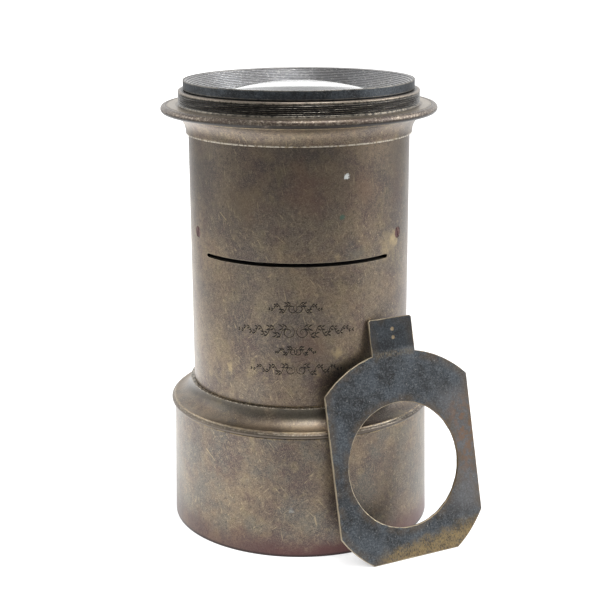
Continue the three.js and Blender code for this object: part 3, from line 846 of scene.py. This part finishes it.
def front_mount():
    half = (BEAD_TOP - BEAD_BOTTOM) / 2
    inner = SLEEVE_RADIUS - SLEEVE_WALL
    return turned("front_mount_shell", rounded([
        (inner, MOUNT_BOTTOM), (SLEEVE_RADIUS, MOUNT_BOTTOM), (SLEEVE_RADIUS, BEAD_BOTTOM),
        *arc((BEAD_RADIUS - half, BEAD_BOTTOM + half), half, -90, 90, 10),
        *arc(COVE_CENTRE, COVE_RADIUS, -90, -180, 18),
        (COVE_CENTRE[0] - COVE_RADIUS, SEAM_HEIGHT), (MOUNT_BORE, SEAM_HEIGHT),
        (MOUNT_BORE, SLEEVE_WEB_TOP), (inner, SLEEVE_WEB),
    ], 0.18))


def barrel():
    """The tube with its stop slot and its screw holes cut through."""
    bore = BARREL_RADIUS - BARREL_WALL
    tube = turned("barrel", rounded([
        (bore, BARREL_BOTTOM), (BARREL_RADIUS, BARREL_BOTTOM),
        (BARREL_RADIUS, BARREL_TOP), (bore, BARREL_TOP),
    ], 0.1))
    end = SLOT_WIDTH / 2
    reach = SLOT_CHORD / 2 - end
    cap = arc((0, 0), end, -90, 90, 8)
    outline = [(x + reach, z) for x, z in cap] + [(-x - reach, -z) for x, z in cap]
    start, depth = SLOT_CUT
    tools = [prism("slot_tool", outline, depth, outward(SLOT_AZIMUTH, SLOT_HEIGHT, start))]
    hole = circle(SCREW_HEAD_RADIUS + 0.06, 32)
    start, depth = HOLE_CUT
    for azimuth in SCREW_AZIMUTHS:
        at = outward(SLOT_AZIMUTH + azimuth, SCREW_HEIGHT, start)
        tools.append(prism("hole_tool", hole, depth, at))
    cut_away(tube, tools)
    return tube


def flange_collar():
    """The bell, the bead of the flange with its turned groove, and the threaded neck."""
    half = (FLANGE_TOP - FLANGE_BOTTOM) / 2
    seat = BARREL_RADIUS + 0.12
    profile = [
        (seat, COLLAR_LIP), (COLLAR_LIP_RADIUS, COLLAR_LIP),
        *arc((COLLAR_LIP_RADIUS + BELL_CURVE, COLLAR_LIP + 0.6), BELL_CURVE, 180, 180 - BELL_SWEEP),
        (FILLET_RADIUS, FLANGE_BOTTOM),
        *arc((FLANGE_RADIUS - half, FLANGE_BOTTOM + half), half, -90, 90),
        (FLANGE_GROOVE + 0.3, FLANGE_TOP), (FLANGE_GROOVE, FLANGE_TOP - 0.3),
        (FLANGE_GROOVE - 0.3, FLANGE_TOP), (NECK_RADIUS, FLANGE_TOP),
        (NECK_RADIUS, THREAD_BOTTOM), (NECK_RADIUS, THREAD_TOP),
        (NECK_RADIUS, NECK_TOP - NECK_CHAMFER), (NECK_RADIUS - NECK_CHAMFER, NECK_TOP),
        (COLLAR_BORE, NECK_TOP), (COLLAR_BORE, BARREL_TOP + 0.6), (seat, BARREL_TOP + 0.3),
    ]
    return threaded("flange_collar_shell", rounded(profile, 0.16), NECK_RADIUS,
                    THREAD_BOTTOM, THREAD_TOP, THREAD_DEPTH, THREAD_PITCH, 0.07)


def rear_cell():
    rim = REAR_RADIUS - REAR_RIM
    under_ring = REAR_RING_BOTTOM - REAR_GAP
    profile = [
        (REAR_BORE, REAR_BOTTOM), (REAR_TUBE_RADIUS, REAR_BOTTOM),
        (REAR_TUBE_RADIUS, REAR_THREAD_BOTTOM), (REAR_THREAD_RADIUS, REAR_THREAD_BOTTOM),
        (REAR_THREAD_RADIUS, REAR_SHOULDER), (REAR_RADIUS, REAR_SHOULDER),
        (REAR_RADIUS, REAR_TOP), (rim, REAR_TOP), (rim, REAR_RING_LEDGE),
        (REAR_RING_SEAT, REAR_RING_LEDGE), (REAR_RING_SEAT, under_ring),
        (REAR_GLASS_SEAT, under_ring), (REAR_GLASS_SEAT, REAR_GLASS_STOP), (REAR_BORE, REAR_GLASS_STOP),
    ]
    return threaded("rear_cell_shell", rounded(profile, 0.2), REAR_THREAD_RADIUS,
                    REAR_THREAD_BOTTOM + 0.4, REAR_SHOULDER - 1.2)


def groove_count():
    """How many grooves fit between the glass and the lip."""
    return round((REAR_RADIUS - REAR_RIM - REAR_MOUTH_RADIUS) / GROOVE_PITCH)


def rear_retaining_ring():
    """The conical mouth round the rear glass, turned with fine grooves against stray light."""
    lip = (REAR_MOUTH_LIP, REAR_TOP - 0.1)
    inner = (REAR_MOUTH_RADIUS, REAR_RING_BOTTOM + 0.4)
    ledge = REAR_RING_LEDGE + REAR_GAP
    profile = [
        (REAR_MOUTH_RADIUS, REAR_RING_BOTTOM), (REAR_RING_OUTER, REAR_RING_BOTTOM),
        (REAR_RING_OUTER, ledge), (REAR_MOUTH_LIP, ledge), lip, *between(lip, inner, 0.09), inner,
    ]
    slant = Vector(lip) - Vector(inner)
    grooves = groove_count()

    def shift(angle, radius, height):
        along = (Vector((radius, height)) - Vector(inner)).dot(slant) / slant.length_squared
        off = abs((radius - inner[0]) * slant.y - (height - inner[1]) * slant.x) / slant.length
        if off > 0.01 or not 0.03 < along < 0.97:
            return 0, 0
        phase = (along * grooves + angle / (2 * math.pi) + 0.5) % 1
        depth = GROOVE_DEPTH * (1 - abs(2 * phase - 1))
        return depth * 0.7, -depth * 0.7

    return turned("rear_retaining_ring_shell", profile, shift=shift)


def lens_glass(name, low, high, radius, front_curve, rear_curve):
    """A glass between two edge heights. A positive curve bulges, and a negative one is hollow."""

    def face(edge, curve, outward_sign):
        reach = abs(curve)
        drop = math.sqrt(reach**2 - radius**2)
        sign = math.copysign(1, curve) * outward_sign
        radii = [radius * i / GLASS_RINGS for i in range(GLASS_RINGS + 1)]
        return [(r, edge + sign * (math.sqrt(reach**2 - r**2) - drop)) for r in radii]

    points = face(low, front_curve, -1) + face(high, rear_curve, 1)[::-1]
    return turned(name, points, GLASS_SEGMENTS)


def front_cell():
    outer = SLEEVE_RADIUS - SLEEVE_WALL - 0.3
    shoulder = MOUNT_BOTTOM - 0.3
    profile = [
        (FRONT_GLASS_SEAT, FRONT_CELL_BOTTOM), (FRONT_CELL_RADIUS, FRONT_CELL_BOTTOM),
        (FRONT_CELL_RADIUS, shoulder), (outer, shoulder), (outer, FRONT_CELL_TOP),
        (FRONT_CELL_BORE, FRONT_CELL_TOP), (FRONT_CELL_BORE, FRONT_GLASS_STOP),
        (FRONT_GLASS_SEAT, FRONT_GLASS_STOP),
    ]
    return threaded("front_cell_shell", rounded(profile, 0.2), outer,
                    MOUNT_BOTTOM + 0.4, FRONT_CELL_TOP - 1.0)


def front_retaining_ring():
    bottom, top, outer = extent("front_retaining_ring")
    corners = [(FRONT_RING_BORE, bottom), (outer, bottom), (outer, top), (FRONT_RING_BORE, top)]
    return turned("front_retaining_ring_shell", rounded(corners, 0.3))


def barrel_front_ring():
    bottom, top, outer = extent("barrel_front_ring")
    socket = BARREL_RADIUS - BARREL_WALL - 0.3
    corners = [
        (BARREL_RING_BORE, bottom), (outer, bottom), (outer, SEAM_HEIGHT),
        (socket, SEAM_HEIGHT), (socket, top), (BARREL_RING_BORE, top),
    ]
    return threaded("barrel_front_ring_shell", rounded(corners, 0.2), outer,
                    bottom + 0.4, SEAM_HEIGHT - 0.4)


def guide_screw(index):
    """A screw head, filed flush with the barrel, with its driver slot."""
    radius, corner = SCREW_HEAD_RADIUS, 0.16
    rings = [(0, -SCREW_HEAD_DEPTH), (radius, -SCREW_HEAD_DEPTH), (radius, -corner),
             (radius - corner, 0), (0, 0)]
    head = turned(f"guide_screw_head_{index + 1}", [(r, z, float(z > -0.3)) for r, z in rings], 32)
    seat = math.sqrt(BARREL_RADIUS**2 - radius**2)
    head.matrix_world = outward(SLOT_AZIMUTH + SCREW_AZIMUTHS[index], SCREW_HEIGHT, seat)
    half, reach = 0.22, 3
    turn = Matrix.Rotation(math.radians(35 + 40 * index), 4, "Z")
    above = Matrix.Translation((0, 0, -0.4 * MM))
    groove = [(-reach, -half), (reach, -half), (reach, half), (-reach, half)]
    cut_away(head, [prism("groove_tool", groove, 1, head.matrix_world @ turn @ above)])
    return head


# ------------ ornament

ORNAMENT_ROWS = ((101, 10.5, 2.3, 2), (91.5, 23.5, 2.9, 4), (83.5, 8, 1.9, 2), (76, 18.5, 2.3, 3))
VINE_STEPS = 80
CURL_STEPS = 60
LEAF_STEPS = 8
LEAST_SWELL = 0.04


def ornament_strokes():
    """The engraved ornament as strokes of (points, thickness), in millimetres across and up.

    Four rows of plain scrolls with leaves, mirrored left to right, fill the place where such a
    lens carries an engraving. Each row has its height, half its width, its size and its waves.
    """
    strokes = []
    for height, width, size, waves in ORNAMENT_ROWS:
        for side in (-1, 1):
            vine = []
            for t in fractions(VINE_STEPS):
                swing = size * (1 - 0.7 * t) * math.sin(2 * math.pi * waves * t)
                vine.append((side * width * (0.12 + 0.88 * t), height + swing))
            strokes.append((vine, 0.14))
            curl = []
            for t in fractions(CURL_STEPS):
                radius = size * 0.95 * (1 - 0.8 * t)
                angle = math.pi * (0.5 + 3.0 * t)
                curl.append((side * (width * 0.12 + radius * math.cos(angle)),
                             height - size * 0.1 + radius * math.sin(angle)))
            strokes.append((curl, 0.16))
            for crest in range(4 * waves):
                t = (crest + 0.5) / (4 * waves)
                root = vine[round(VINE_STEPS * t)]
                for lean in (-1, 1):
                    strokes.append((leaf(root, side, lean, size * (1.0 - 0.6 * t)), 0.26))
    return strokes


def leaf(root, side, lean, reach):
    """One small leaf that grows from the vine."""
    return [(root[0] + side * reach * 0.75 * t, root[1] + lean * reach * (0.85 * t - 0.45 * t * t))
            for t in fractions(LEAF_STEPS)]


def engraving(name, shift, skin, widen):
    """Thin swelling ribbons laid on the barrel's surface, all moved by a small shift."""
    bm = bmesh.new()
    radius = BARREL_RADIUS + skin

    def on_skin(across, up):
        a = (across + shift[0]) / BARREL_RADIUS + math.radians(SLOT_AZIMUTH)
        return Vector((radius * math.sin(a), -radius * math.cos(a), up + shift[1])) * MM

    for points, thickness in ornament_strokes():
        count = len(points)
        pairs = []
        for i, (x, y) in enumerate(points):
            ahead = points[min(i + 1, count - 1)]
            behind = points[max(i - 1, 0)]
            run = Vector((ahead[0] - behind[0], ahead[1] - behind[1])).normalized()
            swell = LEAST_SWELL + widen * thickness * math.sin(math.pi * i / (count - 1))
            side = Vector((-run.y, run.x)) * swell
            pairs.append((bm.verts.new(on_skin(x + side.x, y + side.y)),
                          bm.verts.new(on_skin(x - side.x, y - side.y))))
        for (a, b), (c, d) in zip(pairs, pairs[1:]):
            face = bm.faces.new((a, b, d, c))
            face.normal_update()
            if face.normal.dot(face.calc_center_median()) < 0:
                face.normal_flip()
    return make_object(name, bm)


# ------------ stop plate


def bulge(start, end, radius):
    """Points along an outward arc from start to just before end."""
    a, b = Vector(start), Vector(end)
    chord = b - a
    offset = math.sqrt(radius**2 - (chord.length / 2) ** 2) / chord.length
    centre = (a + b) / 2 + Vector((-chord.y, chord.x)) * offset
    first = math.atan2(a.y - centre.y, a.x - centre.x)
    last = math.atan2(b.y - centre.y, b.x - centre.x)
    if last < first:
        last += 2 * math.pi
    count = max(2, round(radius * (last - first) / STOP_STEP))
    angles = [first + (last - first) * i / count for i in range(count)]
    return at_angles(centre, radius, angles)


def straight(start, end):
    """Points along a line from start to just before end."""
    a, b = Vector(start), Vector(end)
    count = max(1, round((b - a).length / STOP_STEP))
    return [tuple(a.lerp(b, i / count)) for i in range(count)]


def stop_outline():
    """The plate's outline, anticlockwise, in the plate's own (across, up) millimetres."""
    side_top, tab_foot = (
        STOP_TOP_CENTRE + math.sqrt(STOP_TOP_RADIUS**2 - half_width**2)
        for half_width in (STOP_HALF_WIDTH, STOP_TAB_HALF_WIDTH))
    right = [
        (STOP_FOOT_HALF_WIDTH, 0), (STOP_HALF_WIDTH, STOP_SIDE_BOTTOM), (STOP_HALF_WIDTH, side_top),
        (STOP_TAB_HALF_WIDTH, tab_foot), (STOP_TAB_HALF_WIDTH, STOP_TAB_TOP - STOP_TAB_CORNER),
        (STOP_TAB_HALF_WIDTH - STOP_TAB_CORNER, STOP_TAB_TOP),
    ]
    corners = right + [(-x, y) for x, y in right[::-1]]
    curves = [STOP_CORNER_CURVE, None, STOP_TOP_RADIUS, None, None]
    curves += [None, *curves[::-1], None]
    points = []
    for start, end, curve in zip(corners, corners[1:] + corners[:1], curves):
        points += bulge(start, end, curve) if curve else straight(start, end)
    return points


def inset(loop, distance):
    """The loop moved to its left by a distance, corner by corner."""
    result = []
    count = len(loop)
    for i, point in enumerate(loop):
        before = (Vector(point) - Vector(loop[i - 1])).normalized()
        after = (Vector(loop[(i + 1) % count]) - Vector(point)).normalized()
        normal = Vector((-before.y - after.y, before.x + after.x))
        scale = 2 / max(normal.length_squared, 0.5)
        result.append(tuple(Vector(point) + normal * scale * distance))
    return result


def edge_distance(points, loops):
    """How far each point lies from the nearest loop segment."""
    result = np.full(len(points), 1e9)
    for loop in loops:
        start = np.array(loop)
        run = np.roll(start, -1, axis=0) - start
        for a, d in zip(start, run):
            offset = points - a
            t = np.clip(offset @ d / max(d @ d, 1e-9), 0, 1)
            away = np.linalg.norm(offset - t[:, None] * d, axis=1)
            result = np.minimum(result, away)
    return result


def stop_plate():
    """The stop as one closed mesh: two faces with fine interior points, chamfers and edges."""
    outer = stop_outline()
    hole = circle(STOP_HOLE_RADIUS, 200, STOP_HOLE_CENTRE)[::-1]
    rims = (outer, hole)
    shoulders = [inset(loop, STOP_CHAMFER) for loop in rims]
    reach = STOP_HALF_WIDTH + STOP_GRID
    columns = np.arange(-reach, reach, STOP_GRID)
    rows = np.arange(STOP_GRID / 2, STOP_TAB_TOP, STOP_GRID)
    grid = np.array([(x, y) for y in rows for x in columns if in_plate(Vector((x, y)), outer)])
    clear = edge_distance(grid, rims) > 1.5
    rings = [point for loop in rims for gap in (0.45, 0.9) for point in inset(loop, gap)]
    corners = [Vector(p) for loop in shoulders for p in loop]
    extra = [Vector(p) for p in [*rings, *grid[clear]]]
    edges, offset = [], 0
    for loop in shoulders:
        count = len(loop)
        edges += [(offset + i, offset + (i + 1) % count) for i in range(count)]
        offset += count
    points, _, faces, sources, _, _ = delaunay_2d_cdt(corners + extra, edges, [], 0, 1e-5)
    inside = []
    for face in faces:
        middle = sum((points[i] for i in face), Vector((0, 0))) / 3
        if in_plate(middle, shoulders[0]):
            inside.append(face)
    return plate_mesh(points, inside, sources, rims, shoulders)


def in_plate(point, outline):
    """Whether a point lies inside the outline and outside the hole."""
    if (point - Vector(STOP_HOLE_CENTRE)).length < STOP_HOLE_RADIUS:
        return False
    inside = False
    for (ax, ay), (bx, by) in zip(outline, outline[1:] + outline[:1]):
        if (ay > point.y) != (by > point.y) and point.x < ax + (point.y - ay) / (by - ay) * (bx - ax):
            inside = not inside
    return inside


def plate_mesh(points, faces, sources, rims, shoulders):
    """Two sheets of those faces, joined over their chamfers, standing where the stop leans.

    sources says which of the rims' points every mesh point came from. The mesh stores each
    point's place on the flat plate, which its material reads."""
    bm = bmesh.new()
    edge_layer = bm.verts.layers.float.new("edge")
    used = sorted({i for face in faces for i in face})
    distances = edge_distance(np.array([tuple(points[i]) for i in used]), rims)
    where = {source: i for i, found in enumerate(sources) for source in found}
    sheets = {}
    for side, level in ((1, STOP_THICKNESS), (-1, 0.0)):
        sheet = {}
        for i, distance in zip(used, distances):
            sheet[i] = bm.verts.new(Vector((*points[i], level)) * MM)
            sheet[i][edge_layer] = distance
        for face in faces:
            ring = [sheet[i] for i in face]
            bm.faces.new(ring if side > 0 else ring[::-1])
        sheets[side] = sheet
    offset = 0
    for rim, shoulder in zip(rims, shoulders):
        count = len(rim)
        high = [sheets[1][where[offset + i]] for i in range(count)]
        low = [sheets[-1][where[offset + i]] for i in range(count)]
        upper = [bm.verts.new(Vector((*p, STOP_THICKNESS - STOP_CHAMFER)) * MM) for p in rim]
        lower = [bm.verts.new(Vector((*p, STOP_CHAMFER)) * MM) for p in rim]
        for top, bottom in ((high, upper), (upper, lower), (lower, low)):
            for i in range(count):
                j = (i + 1) % count
                bm.faces.new((top[i], bottom[i], bottom[j], top[j]))
        offset += count
    places = bm.verts.layers.float_vector.new(PLATE_PLACES)
    for vert in bm.verts:
        vert[places] = vert.co
    turn = Euler((math.pi / 2 - STOP_LEAN, 0, STOP_HEADING), "XYZ").to_matrix().to_4x4()
    foot = Matrix.Translation(Vector(STOP_FOOT) * MM)
    bmesh.ops.transform(bm, matrix=foot @ turn, verts=bm.verts)
    return make_object("stop_plate", bm)


# ------------ assembly

INSIDE_BLACK = matt_black("inside_black")
GLASS = optical_glass("optical_glass")

# Each piece's maker, body, aged_brass values and CAD node, and the radius of its black inside.
BRASS_PIECES = (
    (hood, "front_mount", ("hood_brass", hood_marks, 50, 0.94, 0.7), "hood_tube", HOOD_MOUTH_RADIUS - 0.5),
    (front_mount, "front_mount", ("mount_brass", mount_marks, 90, 0.95, 0.5), "front_mount",
     SLEEVE_RADIUS - 1),
    (barrel, "barrel", ("barrel_brass", barrel_marks, 0), "barrel_tube", BARREL_RADIUS - 0.5),
    (flange_collar, "barrel", ("collar_brass", collar_marks, 130, 1.05), "flange_collar", None),
)
for make, body, brass, node, black_radius in BRASS_PIECES:
    piece = place(make(), body, "aged_brass", aged_brass(*brass), node)
    if black_radius:
        blacken_inside(piece, black_radius)
lines = engraving("ornament_cut", (0, 0), 0.014, 1.0)
place(lines, "barrel", "aged_brass", engraving_fill("engraving_fill"))
glints = engraving("ornament_glint", (0.16, -0.12), 0.008, 0.9)
place(glints, "barrel", "aged_brass", cut_edge("cut_edge"))
screw_metal = tarnished_screw("tarnished_screw")
for number in range(len(SCREW_AZIMUTHS)):
    place(guide_screw(number), "barrel", "screw_brass", screw_metal, f"guide_screw_{number + 1}")

clean_brass = machined_brass("machined_brass")
place(barrel_front_ring(), "barrel_thread", "bright_brass", clean_brass, "barrel_front_ring")

black_metal = blackened_brass("blackened_brass", 6, 0.8)
BLACK_PIECES = (
    (front_cell, "front_cell", black_metal, "front_cell"),
    (front_retaining_ring, "front_cell", black_metal, "front_retaining_ring"),
    (rear_cell, "rear_cell", black_metal, "rear_cell"),
    (rear_retaining_ring, "rear_cell", grooved_mouth("mouth_black"), "rear_retaining_ring"),
    (stop_plate, "waterhouse_stop", stop_brass("stop_brass"), "waterhouse_stop"),
)
for make, body, metal, node in BLACK_PIECES:
    place(make(), body, "blackened_brass", metal, node)

# Each glass's name, body, edge heights and radius, and the curves of its lower and upper face.
GLASSES = (
    ("front_crown", "front_lenses", 26.5, 29, 47, 150, 150),
    ("front_flint", "front_lenses", 29.3, 39.2, 47, -150, 3000),
    ("rear_crown", "rear_lenses", 172.6, 176.6, 40, 400, 115),
    ("rear_flint", "rear_lenses", 160.7, 168.5, 40, 300, -110),
)
for title, carrier, low, high, radius, front_curve, rear_curve in GLASSES:
    glass = lens_glass(f"{title}_glass", low, high, radius, front_curve, rear_curve)
    place(glass, carrier, "optical_glass", GLASS, f"{title}_lens")

for node in ("stop_guide_upper_ring", "stop_guide_spacer", "stop_guide_lower_ring", "rear_spacer_ring"):
    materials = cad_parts[node].data.materials
    materials.clear()
    materials.append(INSIDE_BLACK)

# ------------ stage, light and camera

FLOOR_SIZE = 9.0
FLOOR_PALE, FLOOR_WHITE = (0.4, 0.4, 0.4, 1), (0.42, 0.42, 0.42, 1)
FLOOR_GLOW, FLOOR_LEFT_BOOST = 0.88, 0.75
FLOOR_LEFT_START, FLOOR_LEFT_END = (-60, -110), (-380, -230)
FLOOR_SHADE_REACH, FLOOR_SHADE = 45, (0.15, 0.5)
FLOOR_FRONT_START, FLOOR_FRONT_END = -90, -290
FLOOR_FRONT_SLANT, FLOOR_SIDE_WIDENS = 0.35, 0.4
FLOOR_SIDE_START, FLOOR_SIDE_END = 150, 440
SKY_FRONT = (0.05, -1, 0.1)
SKY_BRIGHT, SKY_DIM, SKY_OVERHEAD = 1.25, 0.3, 0.4
CAMERA_PLACE = Vector((0.00011, -0.5327, 0.2385))
CAMERA_PITCH = 15.38
CAMERA_ROLL = -0.28
CAMERA_LENS = 78.5
CAMERA_CLIP = (0.01, 50)
LIGHT_TARGET = Vector((0, 0, 0.09))


def floor():
    """A white table that glows and so lights the lens.

    What it lends to the reflections is dimmer towards the photographer and the sides, where
    the studio ended. Seen directly it is plain white everywhere but in the lens's shade.
    """
    bm = bmesh.new()
    bmesh.ops.create_grid(bm, x_segments=1, y_segments=1, size=FLOOR_SIZE)
    plane = make_object("floor", bm, Matrix())
    nodes = Nodes("floor_white")
    color = nodes.mix(nodes.noise(400, 2), FLOOR_PALE, FLOOR_WHITE)
    near = nodes.x.scaled(-FLOOR_FRONT_SLANT, nodes.y).ramp(FLOOR_FRONT_END, FLOOR_FRONT_START)
    widening = nodes.highest(nodes.y, 0.0) * FLOOR_SIDE_WIDENS
    sides = (abs(nodes.x) - widening).ramp(FLOOR_SIDE_END, FLOOR_SIDE_START)
    left = nodes.x.ramp(*FLOOR_LEFT_START) * nodes.x.ramp(*FLOOR_LEFT_END)
    boosted = left.scaled(FLOOR_LEFT_BOOST, 1.0)
    open_sky = nodes.add("AmbientOcclusion", {"Distance": FLOOR_SHADE_REACH * MM}, "AO")
    unshaded = open_sky.ramp(*FLOOR_SHADE).scaled(0.6, 0.4)
    # painted light: the floor glows as a light for the lens, and ambient occlusion paints shade into its
    # glow near the lens
    glow = nodes.highest(near * sides * boosted, nodes.seen()) * unshaded * FLOOR_GLOW
    plane.data.materials.append(
        nodes.finish(color, 0.9, 0.0, Emission_Color=(1, 1, 1, 1), Emission_Strength=glow))


def studio_sky():
    """White all round, and darker in reflections overhead and on the photographer's side."""
    world = bpy.data.worlds.new("studio")
    bpy.context.scene.world = world
    nodes = Tree(world)
    direction = nodes.add("TexCoord", {}, "Generated")

    def shade(towards, start, end, low, high):
        facing = nodes.vector("DOT_PRODUCT", direction, Vector(towards).normalized(), "Value")
        return facing.ramp(start, end).scaled(high - low, low)

    front = shade(SKY_FRONT, -0.1, 0.9, SKY_BRIGHT, SKY_DIM)
    above = shade((0, 0, 1), 0.3, 0.95, 1.0, SKY_OVERHEAD)
    strength = nodes.highest(front * above, nodes.seen())
    background = nodes.add("Background", {"Color": (1, 1, 1, 1), "Strength": strength})
    nodes.add("OutputWorld", {"Surface": background})


def soft_box(name, place_at, size, power):
    """A large square light that looks at the lens."""
    lamp = bpy.data.lights.new(name, "AREA")
    lamp.size = size
    lamp.energy = power
    aim = (AXIS + LIGHT_TARGET - Vector(place_at)).to_track_quat("-Z", "Y")
    link(name, lamp, Matrix.Translation(place_at) @ aim.to_matrix().to_4x4())


def photographer():
    """The camera, where the photograph was taken from."""
    data = bpy.data.cameras.new("camera")
    data.lens = CAMERA_LENS
    data.clip_start, data.clip_end = CAMERA_CLIP
    pitch = Matrix.Rotation(math.radians(90 - CAMERA_PITCH), 4, "X")
    roll = Matrix.Rotation(math.radians(CAMERA_ROLL), 4, "Z")
    stand = Matrix.Translation(AXIS + CAMERA_PLACE)
    bpy.context.scene.camera = link("camera", data, stand @ pitch @ roll)


floor()
studio_sky()
soft_box("key_light", (1.1, -0.05, 0.55), 0.8, 8)
soft_box("fill_light", (-0.9, 0.1, 0.3), 0.5, 1.0)
soft_box("top_light", (0.15, -0.35, 1.0), 0.5, 6)
photographer()
bpy.context.scene.view_settings.view_transform = "Standard"
